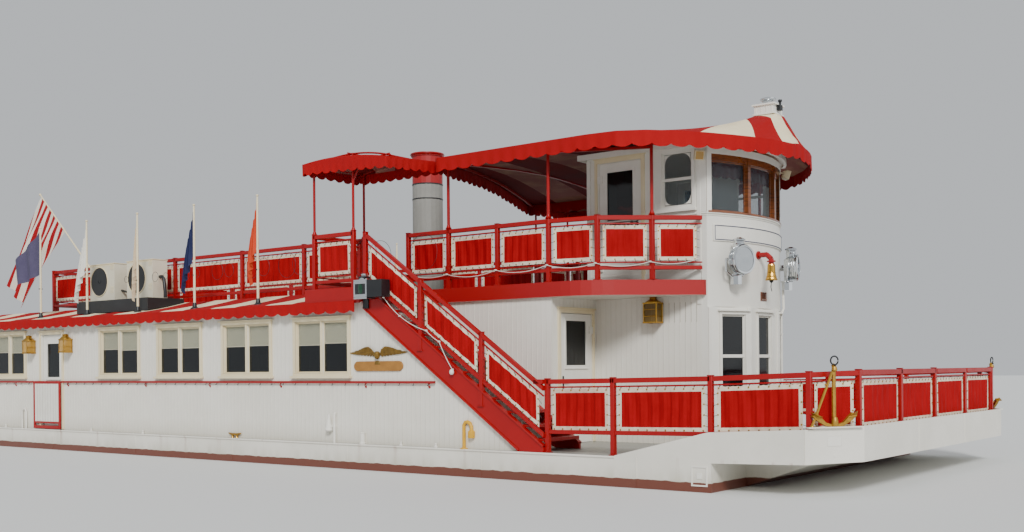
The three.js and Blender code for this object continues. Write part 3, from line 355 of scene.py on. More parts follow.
# %% Oak, funnel, bell, chimney and condensers
# Varnished oak: 3 mm rings stretched along the board, under a gloss coat.
tree, shader, place = finish("varnished_oak", "8A4A1E", "5A2B10", 0.3, grain=2, Coat_Weight=0.7)
stretched = add(tree, "ShaderNodeMapping", {"Vector": place, "Scale": (7.0, 7.0, 55.0)})
rings = add(tree, "ShaderNodeTexNoise", {"Vector": stretched, "Scale": 1.0, "Detail": 6.0, "Distortion": 0.6})
tint(shader, Value(tree, rings).ramp(0.48, 0.62, 0.0, 0.7), "3E1D0A")
# The blank boards under the wings are a lighter oak than the wheelhouse.
finish("golden_oak", "A8742F", "7F521D", 0.32, grain=5, share=0.6)
# Funnel: grey heat paint, darker towards the foot, with a red band under a dark lip.
tree, shader, place = finish("funnel_heat_paint", "918F88", "716E67", 0.5, grain=2.5, bump=0.15)
z = axes(tree, place)[2]
tint(shader, z.ramp(3.8, 3.1) * 0.4, "3A3733")
tint(shader, z > 5.43, "A00A0E")
tint(shader, z > 6.02, "221E1C")
# The bell hangs from a red bracket, and the chimney over the cupola is chromed: one height parts
# the paint from the bright metal, and the metallic value follows the same mask.
for name, split, metal_below, paint, metal in (("bell_and_bracket", 3.318, True, "A00A0E", "C79A45"),
        ("cupola_and_chimney", 5.957, False, "E9E6DC", "CDD1D4")):
    tree, shader, place = finish(name, paint, paint, 0.34, grain=6)
    z = axes(tree, place)[2]
    bright = z < split if metal_below else z > split
    tint(shader, bright, metal)
    tree.links.new(bright.socket, shader.inputs["Metallic"])
    tree.links.new(bright.ramp(0, 1, 0.4, 0.2).socket, shader.inputs["Roughness"])
# Condenser casing: cream powder coat; the near-black base below z 3.172 is painted shadow under the casing.
tree, shader, place = finish("condenser_powder_coat", "DAD3BC", "B9B198", 0.5, grain=3, bump=0.12,
    bump_grain=200)
tint(shader, axes(tree, place)[2] < 3.172, "232425")
print(len(finishes), "finishes in all")

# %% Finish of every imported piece, and slot of every finish
worn_by = {
    "weathered_hull_enamel": "hull", "upper_deck_enamel": "upper_deck",
    "white_beadboard_enamel": "cabin_wall_aft cabin_wall_* front_wall_*",
    "white_wall_enamel": "tower_bay tower_skirt pilothouse_walls",
    "white_trim_enamel": "pilothouse_roof side_door_* front_door_* pilot_door_*",
    "cupola_and_chimney": "cupola", "varnished_oak": "pilothouse_window_band",
    "red_marine_enamel": "canopy_frame wheel_frame side_gate_*", "funnel_heat_paint": "funnel",
    "condenser_powder_coat": "condensers", "machinery_grey_paint": "engine", "bell_and_bracket": "bell",
    "creosoted_plank": "paddle_wheel_*", "galvanised_tube": "wheel_shaft_*",
    "black_enamel": "rudder_* sidelight_*", "gold_bronze_paint": "anchor_*", "chromed_brass": "searchlight_*",
}
dressed = 0
for paint, stems in worn_by.items():
    for stem in stems.split():
        for side in ("starboard", "port") if "*" in stem else ("",):
            skin = bpy.data.objects[stem.replace("*", side)].data
            skin.materials.clear()
            skin.materials.append(finishes[paint])
            dressed += 1
print("finished", dressed, "packed pieces")
# The record's slot for each finish, told by a word in its name; the first that fits counts.
SLOT_WORDS = (("striped_canvas", "canvas bunting cloth"), ("varnished_wood", "oak"), ("chrome", "chromed"),
    ("brass", "brass bronze lantern"), ("black_metal", "black glass"), ("red_paint", "red"),
    ("grey_metal", "machinery galvanised"), ("white_paint", "enamel cord"))
slot_of = {paint: next((slot for slot, words in SLOT_WORDS
    if set(words.split()) & set(paint.split("_"))), None) for paint in finishes}

# %% [markdown]
# ## Tools of the yard
# Most of this boat is bars, pipes, boards and cloth. `Work` gathers many such members in one mesh,
# because a rail or a window frame is one made-up piece on the real boat too. Edges are eased
# afterwards by a small bevel, which is what catches the light on painted timber.

# %% A workbench for joined members
SIDES = (("starboard", -1), ("port", 1))


def long_wall(sign, y):
    """A wall along the boat, as (origin, direction along it, direction out of it)."""
    return (0, sign * y, 0), (1, 0, 0), (0, sign, 0)


made = {}


class Work:
    """One mesh under construction; `mark` picks the finish of what is added next."""

    def __init__(self):
        self.mesh = bmesh.new()
        self.mark = 0

    def face_up(self, faces):
        for made_face in faces:
            made_face.material_index = self.mark

    def hexa(self, eight):
        """A bar from its eight corners: four below, then four above, both in the same order."""
        v = [self.mesh.verts.new(p) for p in eight]
        quads = ((3, 2, 1, 0), (4, 5, 6, 7), (0, 1, 5, 4), (1, 2, 6, 5), (2, 3, 7, 6), (3, 0, 4, 7))
        self.face_up([self.mesh.faces.new([v[i] for i in q]) for q in quads])

    def block(self, x0, x1, y0, y1, z0, z1):
        x0, x1, y0, y1 = min(x0, x1), max(x0, x1), min(y0, y1), max(y0, y1)
        self.hexa([(x, y, z) for z in (z0, z1) for x, y in ((x0, y0), (x1, y0), (x1, y1), (x0, y1))])

    def on(self, wall, u0, u1, n0, n1, z0, z1):
        """A bar placed by its distance along a wall, out of it and up."""
        origin, along, out = [Vector(v) for v in wall]
        self.hexa([origin + along * u + out * n + up(z) for z in (z0, z1)
            for u, n in ((u0, n0), (u1, n0), (u1, n1), (u0, n1))])

    def frame(self, wall, u0, u1, z0, z1, wide, n0, n1):
        """Four members around an opening in a wall."""
        self.on(wall, u0 - wide, u1 + wide, n0, n1, z1, z1 + wide)
        self.on(wall, u0 - wide, u1 + wide, n0, n1, z0 - wide, z0)
        self.on(wall, u0 - wide, u0, n0, n1, z0, z1)
        self.on(wall, u1, u1 + wide, n0, n1, z0, z1)

    def beam(self, a, b, wide, low, high):
        """A bar from a to b in plan, with its lower and upper heights at each end."""
        run = xyz(b[0] - a[0], b[1] - a[1]).normalized()
        off = xyz(-run.y, run.x) * wide / 2
        ends = [(xyz(p[0], p[1]), lo, hi) for p, lo, hi in ((a, low[0], high[0]), (b, low[1], high[1]))]
        (pa, la, ha), (pb, lb, hb) = ends
        z = up(1)
        self.hexa([pa - off + z * la, pb - off + z * lb, pb + off + z * lb, pa + off + z * la,
            pa - off + z * ha, pb - off + z * hb, pb + off + z * hb, pa + off + z * ha])

    def ring(self, centre, radius, side, over, count):
        return [centre + (side * cos(2 * pi * i / count) + over * sin(2 * pi * i / count)) * radius
            for i in range(count)]

    def pipe(self, path, radius, count=10, closed=True):
        """A round pipe through the points of a path; radius may be a list along it."""
        path = [Vector(p) for p in path]
        radii = radius if isinstance(radius, (list, tuple)) else [radius] * len(path)
        side = None
        rings = []
        for i, p in enumerate(path):
            ahead_i = (path[min(i + 1, len(path) - 1)] - path[max(i - 1, 0)]).normalized()
            if side is None:
                side = ahead_i.orthogonal().normalized()
            side = (side - ahead_i * side.dot(ahead_i)).normalized()
            over = ahead_i.cross(side)
            rings.append([self.mesh.verts.new(q) for q in self.ring(p, radii[i], side, over, count)])
        self.skin(rings, closed)

    def skin(self, rings, closed=True):
        for low, high in zip(rings, rings[1:]):
            count = len(low)
            self.face_up([self.mesh.faces.new((low[i], low[(i + 1) % count], high[(i + 1) % count], high[i]))
                for i in range(count)])
        if closed:
            self.face_up([self.mesh.faces.new(list(reversed(rings[0]))), self.mesh.faces.new(rings[-1])])

    def turned(self, profile, at, axis=(0, 0, 1), count=24):
        """A turned shape; the profile is (radius, height along the axis), closed at both ends."""
        axis = Vector(axis).normalized()
        side = axis.orthogonal().normalized()
        over = axis.cross(side)
        at = Vector(at)
        rings = [[self.mesh.verts.new(q) for q in self.ring(at + axis * h, max(r, 0.0006), side, over, count)]
            for r, h in profile]
        self.skin(rings)

    def plate(self, outline, push):
        """A flat outline in space, thickened by the vector `push`."""
        push = Vector(push)
        low = [self.mesh.verts.new(Vector(p)) for p in outline]
        high = [self.mesh.verts.new(Vector(p) + push) for p in outline]
        self.skin([low, high])


def works(count):
    return [Work() for i in range(count)]


def mesh_of(name, work):
    """Close the work into a mesh whose faces point outwards."""
    mesh = bpy.data.meshes.new(name)
    bmesh.ops.recalc_face_normals(work.mesh, faces=work.mesh.faces)
    work.mesh.to_mesh(mesh)
    work.mesh.free()
    return mesh


def fit_out(piece, paints, body, stands_for=(), slot=None):
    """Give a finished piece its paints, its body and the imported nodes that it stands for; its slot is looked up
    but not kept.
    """
    paints = [paints] if isinstance(paints, str) else paints
    if not piece.data.materials:
        for paint in paints:
            piece.data.materials.append(finishes[paint])
    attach(piece, body)
    for node in stands_for:
        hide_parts(node)
    slot or slot_of[paints[0]]
    made[piece.name] = piece
    return piece


def settle(name, work, paints, bevel=0.0, body="boat", stands_for=(), slot=None):
    """Turn the work into a finished piece that rides on its body."""
    piece = show(name, mesh_of(name, work))
    piece.data.shade_smooth()
    piece.data.set_sharp_from_angle(angle=radians(35))
    if bevel:
        eased = piece.modifiers.new("eased_edges", "BEVEL")
        eased.width = bevel
        eased.segments = 2
        eased.limit_method = "ANGLE"
        eased.angle_limit = radians(50)
    return fit_out(piece, paints, body, stands_for, slot)


# %% [markdown]
# ## Trees for what repeats
# Beads, lacings, hooks and louvres repeat by the hundred. Each Geometry Nodes tree here takes bare
# edges or points as its input and turns them into the piece: `pipes_on_edges` sweeps a round
# section along every edge, `fittings_on_points` sets one fitting on every point. The result is
# made a plain mesh, because a finished piece must not depend on a live tree.

# %% Geometry Nodes helpers
def start_tree(name, **sizes):
    tree = bpy.data.node_groups.new(name, "GeometryNodeTree")
    for way in ("OUTPUT", "INPUT"):
        tree.interface.new_socket("Geometry", in_out=way, socket_type="NodeSocketGeometry")
    for label, kind in sizes.items():
        tree.interface.new_socket(label, in_out="INPUT", socket_type=f"NodeSocket{kind}")
    tree.interface.new_socket("Paint", in_out="INPUT", socket_type="NodeSocketMaterial")
    return tree, {socket.name: Value(tree, socket) for socket in add(tree, "NodeGroupInput").outputs}


def end_tree(tree, geometry, given):
    real = add(tree, "GeometryNodeRealizeInstances", {"Geometry": geometry})
    coloured = add(tree, "GeometryNodeSetMaterial", {"Geometry": real, "Material": given["Paint"]})
    add(tree, "NodeGroupOutput", {0: coloured})


def grow(name, tree, verts, edges, paint, body="boat", facing=None, smooth=True, slot=None, **sizes):
    """Run a tree over bare points and edges and keep the result as a plain piece."""
    seed = bpy.data.meshes.new(f"{name}_seed")
    seed.from_pydata([tuple(v) for v in verts], list(edges), [])
    if facing:
        field = seed.attributes.new("facing", "FLOAT_VECTOR", "POINT")
        field.data.foreach_set("vector", [c for turn in facing for c in turn])
    carrier = show(f"{name}_carrier", seed)
    live = carrier.modifiers.new("tree", "NODES")
    live.node_group = tree
    for item in tree.interface.items_tree:
        if item.in_out == "INPUT" and item.name != "Geometry":
            live[item.identifier] = finishes[paint] if item.name == "Paint" else sizes[item.name]
    mesh = bpy.data.meshes.new_from_object(carrier.evaluated_get(bpy.context.evaluated_depsgraph_get()))
    bpy.data.objects.remove(carrier)
    mesh.name = name
    if smooth:
        mesh.shade_smooth()
        mesh.set_sharp_from_angle(angle=radians(40))
    return fit_out(show(name, mesh), paint, body, slot=slot)


pipes_on_edges, given = start_tree("pipes_on_edges", Radius="Float", Sides="Int")
tree = pipes_on_edges
line = add(tree, "GeometryNodeMeshToCurve", {"Mesh": given["Geometry"]})
section = add(tree, "GeometryNodeCurvePrimitiveCircle", {"Resolution": given["Sides"],
    "Radius": given["Radius"]})
swept = add(tree, "GeometryNodeCurveToMesh", {"Curve": line, "Profile Curve": section, "Fill Caps": True})
end_tree(tree, swept, given)

fittings_on_points, given = start_tree("fittings_on_points", Fitting="Object", Size="Float")
tree = fittings_on_points
facing = add(tree, "GeometryNodeInputNamedAttribute", {"Name": "facing"}, data_type="FLOAT_VECTOR")
shape = add(tree, "GeometryNodeObjectInfo", {"Object": given["Fitting"]}).outputs["Geometry"]
turn = add(tree, "FunctionNodeEulerToRotation", {0: facing.outputs["Attribute"]})
points = add(tree, "GeometryNodeMeshToPoints", {"Mesh": given["Geometry"]})
placed = add(tree, "GeometryNodeInstanceOnPoints", {"Points": points, "Instance": shape, "Rotation": turn,
    "Scale": given["Size"]})
end_tree(tree, placed, given)


def rods(name, ends, radius, paint, body="boat", sides=6):
    """Straight rods, each between two points that follow one another in the list."""
    pairs = [(i, i + 1) for i in range(0, len(ends), 2)]
    return grow(name, pipes_on_edges, ends, pairs, paint, body, Radius=radius, Sides=sides)


def set_fittings(name, work, spots, paint, body="boat"):
    """Set one fitting on each spot, given as (place, turn about z in radians, tilt)."""
    shape = show(f"{name}_pattern", mesh_of(f"{name}_pattern", work))
    turns = [(s[2] if len(s) > 2 else 0.0, 0.0, s[1]) for s in spots]
    grow(name, fittings_on_points, [s[0] for s in spots], [], paint, body, turns, Fitting=shape, Size=1.0)
    bpy.data.objects.remove(shape)


print("trees:", [tree.name for tree in bpy.data.node_groups])

# %% [markdown]
# ## Awnings over the cabin's sides
# Each side roof is a run of striped canvas laced over rafters, from the upper deck's edge down to
# the eave. Canvas between two rafters hangs a little, so the sheet is drawn as a grid whose height
# dips between them. Below the eave hangs a scalloped valance: it follows a path, so a tree makes it.

# %% Scalloped valances as a tree
EAVE_LINE = 2.83
scalloped_valance, given = start_tree("scalloped_valance", Drop="Float", Pitch="Float", Scallop="Float",
    Puff="Float")
tree = scalloped_valance
line = add(tree, "GeometryNodeMeshToCurve", {"Mesh": given["Geometry"]})
even = add(tree, "GeometryNodeResampleCurve", {"Curve": line, "Length": 0.028}, mode="LENGTH")
run = add(tree, "GeometryNodeSplineParameter").outputs["Length"]
cloth = add(tree, "GeometryNodeStoreNamedAttribute", {"Geometry": even, "Name": "run", "Value": run},
    data_type="FLOAT", domain="POINT")
cloth = add(tree, "GeometryNodeCurveToMesh", {"Curve": cloth})
lowest = True
downward = add(tree, "ShaderNodeCombineXYZ", {2: -1.0})
for row in range(1, 5):
    lower = add(tree, "GeometryNodeExtrudeMesh", {"Mesh": cloth, "Selection": lowest, "Offset": downward,
        "Offset Scale": given["Drop"] / 4.0}, mode="EDGES")
    lowest = lower.outputs["Top"]
    marked = {"Geometry": lower.outputs["Mesh"], "Selection": lowest, "Name": "row", "Value": row / 4}
    cloth = add(tree, "GeometryNodeStoreNamedAttribute", marked, data_type="FLOAT", domain="POINT")
row, run = [Value(tree, add(tree, "GeometryNodeInputNamedAttribute", {"Name": name},
    data_type="FLOAT").outputs["Attribute"]) for name in ("row", "run")]
angle = run / given["Pitch"] * pi
fall = abs(angle.math("SINE")).math("POWER", 0.6) * given["Scallop"] * (row * -1.0)
swing = (angle * 2.6).math("SINE") * given["Puff"] * row
outward = add(tree, "ShaderNodeVectorMath", {0: add(tree, "GeometryNodeInputNormal"), 3: swing},
    operation="SCALE")
down = add(tree, "ShaderNodeCombineXYZ", {2: fall})
move = add(tree, "ShaderNodeVectorMath", {0: outward, 1: down}, operation="ADD")
end_tree(tree, add(tree, "GeometryNodeSetPosition", {"Geometry": cloth, "Offset": move}), given)


def hang_valance(name, path, drop, paint="plain_red_canvas", pitch=0.3, scallop=0.055, puff=0.008,
        closed=False):
    """A valance along a path; the drop is measured to the top of the scallops."""
    edges = [(i, i + 1) for i in range(len(path) - 1)] + ([(len(path) - 1, 0)] if closed else [])
    piece = grow(name, scalloped_valance, path, edges, paint, Drop=drop, Pitch=pitch, Scallop=scallop,
        Puff=puff)
    length = sum((Vector(path[b]) - Vector(path[a])).length for a, b in edges)


# %% A sheet drawn as a grid
def lay_sheet(name, rows, paint, stands_for=()):
    """A sheet from rows of points; every row has as many points as the first."""
    wide = len(rows[0])
    mesh = bpy.data.meshes.new(name)
    mesh.from_pydata([tuple(p) for row in rows for p in row], [], [(r * wide + i, r * wide + i + 1,
        (r + 1) * wide + i + 1, (r + 1) * wide + i) for r in range(len(rows) - 1) for i in range(wide - 1)])
    mesh.shade_smooth()
    return fit_out(show(name, mesh), paint, "boat", stands_for)


def cloth_area(piece):
    return sum(f.area for f in piece.data.polygons)


def spread(a, b, count):
    return [a + (b - a) * i / (count - 1) for i in range(count)]


# %% Side awnings
ROOF_AFT, ROOF_FORE, ROOF_IN, ROOF_OUT, ROOF_HIGH = -9.9, 2.5, 2.7, 4.05, 3.1
for side, sign in SIDES:
    rows = []
    for x in spread(ROOF_AFT, ROOF_FORE, 249):
        rafter = abs(sin(pi * (x + 9.9) / 0.775))
        row = []
        for share in spread(0, 1, 11):
            y = ROOF_IN + (ROOF_OUT - ROOF_IN) * share
            sag = 0.022 * rafter ** 0.7 * sin(pi * share)
            lip = 0.012 * max(0, share - 0.9) / 0.1
            row.append((x, sign * y, ROOF_HIGH + (EAVE_LINE - ROOF_HIGH) * share - sag - lip))
        rows.append(row if sign < 0 else list(reversed(row)))
    awning = lay_sheet(f"side_awning_{side}", rows, "striped_awning_canvas", [f"side_roof_{side}"])
    soffit = Work()
    soffit.block(ROOF_AFT, ROOF_FORE, sign * ROOF_IN, sign * (ROOF_OUT - 0.03), 2.8, 2.812)
    soffit.block(ROOF_AFT, ROOF_FORE, sign * (ROOF_OUT - 0.05), sign * (ROOF_OUT - 0.02), 2.74, 2.81)
    for x in spread(ROOF_AFT + 0.03, ROOF_FORE - 0.03, 17):
        soffit.plate([(x - 0.02, sign * ROOF_IN, 2.81), (x - 0.02, sign * (ROOF_OUT - 0.03), 2.81),
            (x - 0.02, sign * (ROOF_OUT - 0.03), 2.815), (x - 0.02, sign * ROOF_IN, 3.065)], (0.04, 0, 0))
    settle(f"awning_soffit_{side}", soffit, "white_trim_enamel", bevel=0.004)
    path = [(x, sign * (ROOF_OUT + 0.004), EAVE_LINE - 0.01) for x in spread(ROOF_AFT, 3.7, 60)]
    hang_valance(f"eave_valance_{side}", path, 0.15)
print("awnings", [name for name in made if "awning" in name])

# %% [markdown]
# ## Flags
# Limp flags fall beside their poles in deep folds: the hoist stays laced to the pole, and the fly
# swings down and in. A function draws that fall, with folds that deepen away from the pole. The
# designs are plain generic bunting.

# %% Poles and flags
FLAG_ROW = (-6.3, -4.5, -2.7, -0.87, 0.98)
POLE_Y, POLE_FOOT = 3.8, 2.88
# Each flag: cloth, reach aft, hoist, drop of the fly's upper and lower corner, tuck at the foot, folds
FLAGS = (("violet_bunting", 1.0, 0.95, 0.57, 0.22, 0.0, 2.0), ("white_bunting", 0.42, 0.85, 0.85, 0.82, 0.1,
    5.0), ("buff_bunting", 0.15, 0.85, 0.80, 0.85, 0.3, 5.6), ("navy_bunting", 0.36, 0.90, 0.78, 0.74, 0.1,
    4.7), ("orange_bunting", 0.30, 0.85, 0.78, 0.72, 0.5, 4.9))


def limp_flag(x, y, top, wide, hoist, fall, foot_fall, tuck, folds, phase):
    rows = []
    for u in spread(0, 1, 61):
        row = []
        for v in spread(0, 1, 27):
            down = fall + (foot_fall - fall) * v
            low = (hoist * v + down * u) / (hoist + foot_fall)
            reach = wide * (1 - (1 - u) ** 2.2) * min(1, low * 1.08) ** 0.9 * (1
                - tuck * max(0, low - 0.65) / 0.35)
            if wide > 0.9:
                reach = wide * u
            deep = 0.05 * min(1, 3 * u) * (0.55 + 0.45 * v)
            wave = deep * sin(2 * pi * folds * u + 1.3 * v + phase)
            row.append((x - 0.026 - reach, y + wave, top - 0.04 - hoist * v - down * u ** 0.9))
        rows.append(row)
    return rows


for side, sign in SIDES:
    poles = Work()
    for i, x in enumerate(FLAG_ROW):
        y, base = sign * POLE_Y, POLE_FOOT
        poles.mark = 0
        poles.turned([(0.024, 0), (0.022, 1.0), (0.017, 1.94), (0.012, 1.955)], (x, y, base), count=14)
        poles.turned([(0.0, 0), (0.022, 0.008), (0.028, 0.022), (0.02, 0.038), (0.0, 0.045)],
            (x, y, base + 1.952), count=14)
        poles.mark = 1
        poles.turned([(0.09, -0.035), (0.085, -0.012), (0.045, 0.02), (0.034, 0.09), (0.03, 0.1),
            (0.025, 0.1)], (x, y, base), count=16)
        poles.block(x - 0.012, x + 0.012, y - 0.045, y + 0.045, base + 0.62, base + 0.635)
        paint, wide, hoist, *shape = FLAGS[i]
        flag = lay_sheet(f"flag_{i}_{side}", limp_flag(x, y, base + 1.94, wide, hoist, *shape,
            i + 0.4 * sign), paint)
        print(flag.name, "area", round(cloth_area(flag), 2), "hoist", hoist)
    settle(f"flag_poles_{side}", poles, ["cream_trim_enamel", "black_enamel"])
print("flags at x", FLAG_ROW)

# %% A large flag on a leaning staff
# The staff stands on the upper deck's rail and leans aft; the stripes run along the fly.
STAFF_FOOT, STAFF_HEAD, STAFF_Y = xyz(-5.96, 0, 4.09), xyz(-7.9, 0, 5.85), -2.86
lean = (STAFF_FOOT - STAFF_HEAD).normalized()
staff, aside = Work(), xyz(0, STAFF_Y)
staff.pipe([STAFF_FOOT + lean * 0.12 + aside, STAFF_HEAD + aside], [0.022, 0.014], 12)
staff.turned([(0.0, -0.03), (0.026, -0.02), (0.03, 0.0), (0.02, 0.02), (0.0, 0.03)], STAFF_HEAD + aside, lean,
    12)
settle("leaning_staff", staff, "cream_trim_enamel")
rows = []
fly_way = xyz(lean.z, 0, -lean.x)
for u in spread(0, 1, 57):
    row = []
    for v in spread(0, 1, 33):
        gather = 1 - 0.24 * sin(0.5 * pi * u)
        along = 0.06 + 1.34 * (0.5 + (v - 0.5) * gather)
        sway = 0.07 * min(1, 2 * u) * sin(2 * pi * 2.4 * v + 2.1 * u)
        spot = STAFF_HEAD + lean * along + fly_way * 2.45 * u + xyz(-0.1 * sin(pi * u), 0, 0)
        row.append((spot.x, STAFF_Y - 0.03 * u + sway, spot.z))
    rows.append(row)
flag = lay_sheet("striped_flag", rows, "striped_bunting")
print("striped flag of", round(cloth_area(flag), 2), "square metres, lowest point",
    round(min(v.co.z for v in flag.data.vertices), 2))

# %% [markdown]
# ## The big canopy and its two wings
# The canopy over the forward deck is one continuous sheet. Its aft edge runs slantwise across the
# deck. The cloth is low there, widens to the rails, and draws in to a blunt point in front of the
# wheelhouse, where its strips meet under the little cupola. The rings below are its pattern, and
# between two hoops the cloth hangs slightly. Just inside lies a second sheet whose darker colours are painted shade.

# %% Canopy pattern
EAVE = 5.22
# Each ring: place at the starboard rim, starboard half width, crown, share of tent, port lag, port half width
CANOPY = ((4.4, 2.57, 5.34, 0.4, 2.0, 2.57), (4.53, 2.95, 5.345, 0.4, 2.0, 2.57), (5.4, 2.95, 5.41, 0.4, 0.99, 2.57),
          (5.49, 2.95, 5.415, 0.4, 0.97, 2.83), (6.64, 2.95, 5.53, 0.6, 0, 2.95), (7.6, 2.95, 5.59, 0.8, 0, 2.95),
          (8.1, 2.89, 5.62, 1, 0, 2.89), (8.5, 2.66, 5.66, 1, 0, 2.66), (8.88, 2.23, 5.74, 1, 0, 2.23),
          (9.1, 1.9, 5.79, 1, 0, 1.9), (9.33, 1.48, 5.79, 1, 0, 1.48), (9.44, 1.25, 5.785, 1, 0, 1.25),
          (9.53, 1.06, 5.6, 1, 0, 1.06), (9.64, 0.73, 5.42, 1, 0, 0.73), (9.71, 0.45, 5.33, 1, 0, 0.45),
          (9.75, 0.22, 5.25, 1, 0, 0.22))
HOOPS = (4.4, 4.56, 6.66, 8.15, 9.75)


def canopy_ring(x):
    for ring, ahead in zip(CANOPY, CANOPY[1:]):
        if x <= ahead[0] + 1e-6:
            share = (x - ring[0]) / (ahead[0] - ring[0])
            return [a + (b - a) * share for a, b in zip(ring, ahead)][1:]
    return CANOPY[-1][1:]


def hang_between(x):
    for a, b in zip(HOOPS, HOOPS[1:]):
        if a <= x <= b:
            return sin(pi * (x - a) / (b - a)) * 0.02 * (b - a)
    return 0.0


def canopy_row(x, inset, drop, count=65):
    starboard, crown, tent, lag, port = canopy_ring(x)
    row = []
    for share in spread(-1, 1, count):
        rise = tent * (1 - max(0, abs(share) - 0.12) / 0.88) + (1 - tent) * (1 - share ** 2)
        half = (starboard if share < 0 else port) - inset
        high = EAVE + (crown - EAVE) * rise - drop - hang_between(x) * (1 - share ** 2)
        row.append((x - lag * (share + 1) / 2 - inset * (x > 9.6), share * half, high))
    return row


def canopy_rows(inset, drop):
    stations = spread(4.4, 8.0, 61)[:-1] + spread(8.0, 9.4, 41)[:-1] + spread(9.4, 9.75, 26)
    return [canopy_row(x, inset, drop) for x in stations]


top_sheet = lay_sheet("canopy_top", [list(reversed(r)) for r in canopy_rows(0, 0)], "peaked_canopy_canvas",
    ["canopy_main"])
# A second sheet just under the top, in the darkened lining canvas, is painted shade on the canopy's underside.
lining = lay_sheet("canopy_lining", canopy_rows(0.02, 0.016), "canopy_lining_canvas")
rows = canopy_rows(0, 0)
rim = [r[0] for r in rows] + [rows[-1][i] for i in (16, 32, 48)] + [r[-1] for r in reversed(rows)]
rim += [rows[0][i] for i in range(60, 3, -4)]
rim = [(x, y * 1.0013, z + 0.012 - (0.012 if abs(y) < 2.5 and x < 4.3 else 0)) for x, y, z in rim]
hang_valance("canopy_valance", rim, 0.19, closed=True)
print("canopy area", round(cloth_area(top_sheet), 1), "stations", len(rows))

# %% Wings over the landings
HUMP_AFT, HUMP_FORE, HUMP_IN, HUMP_OUT, HUMP_RISE = 2.4, 4.39, 2.6, 4.0, 0.13


def hump_high(x):
    middle = (HUMP_AFT + HUMP_FORE) / 2
    return EAVE + HUMP_RISE * (1 - ((x - middle) / ((HUMP_FORE - HUMP_AFT) / 2)) ** 2)


def droop(forward, outward):
    """The outer fore corner hangs lower than the rest."""
    return 0.075 * forward ** 1.5 * outward


for side, sign in SIDES:
    rows = []
    for x in spread(HUMP_AFT, HUMP_FORE, 41):
        top = EAVE + 0.5 * (hump_high(x) - EAVE)
        forward = (x - HUMP_AFT) / (HUMP_FORE - HUMP_AFT)
        ys = [HUMP_IN] * 3 + spread(HUMP_IN, HUMP_OUT, 27) + [HUMP_OUT] * 3
        zs = spread(EAVE, top, 3) + [top - 0.02 * sin(pi * i / 26) for i in range(27)] + spread(top, EAVE, 3)
        zs = [z - droop(forward, (y - HUMP_IN) / (HUMP_OUT - HUMP_IN)) for y, z in zip(ys, zs)]
        row = [(x, sign * y, z) for y, z in zip(ys, zs)]
        rows.append(row if sign < 0 else list(reversed(row)))
    wing = lay_sheet(f"landing_canopy_{side}", rows, "plain_red_canvas", [f"canopy_landing_{side}"])
    # The wing's lining sheet carries the same painted shade on its underside.
    lining_rows = [[(x, y - sign * 0.012 * (1 if abs(y) > 3.3 else -1), z - 0.014) for x, y, z in row]
        for row in rows]
    shade = lay_sheet(f"landing_canopy_lining_{side}", lining_rows, "canopy_lining_canvas")
    a, b, i, o = HUMP_AFT, HUMP_FORE, sign * HUMP_IN, sign * HUMP_OUT
    ring = [(a, y, EAVE + 0.005) for y in spread(i, o, 12)] + [(x, o, EAVE + 0.005)
        for x in spread(a, b, 16)[1:]]
    ring += [(b, y, EAVE + 0.005) for y in spread(o, i, 12)[1:]] + [(x, i, EAVE + 0.005)
        for x in spread(b, a, 16)[1:-1]]
    ring = [(x, y, z - droop((x - a) / (b - a), (abs(y) - HUMP_IN) / (HUMP_OUT - HUMP_IN)))
        for x, y, z in ring]
    hang_valance(f"landing_valance_{side}", ring, 0.15, closed=True,
        pitch=0.21)
print("wings done")

# %% [markdown]
# ## Rails with laced banner cloth
# Every rail of this boat is the same idea: square posts, a square top rail, a thin pipe below it,
# and in each bay a pleated red cloth with a white border, laced to the pipes through brass eyelets.
# One function draws a bay from its two ends and the heights of its top rail, so the same code
# gives the level rails, the bow's rising rails and the stair's sloping ones.

# %% One bay of cloth
POST, TOP_BAR, FOOT_BAR, EDGE = 0.07, 0.07, 0.06, 0.052
UPPER_BAY = {"cloth": (0.16, 0.70), "foot": 0.85}
MAIN_BAY = {"cloth": (0.15, 0.74), "foot": 0.80}
STAIR_BAY = {"cloth": (0.18, 0.66), "foot": 0.76}
dice = random.Random(11)


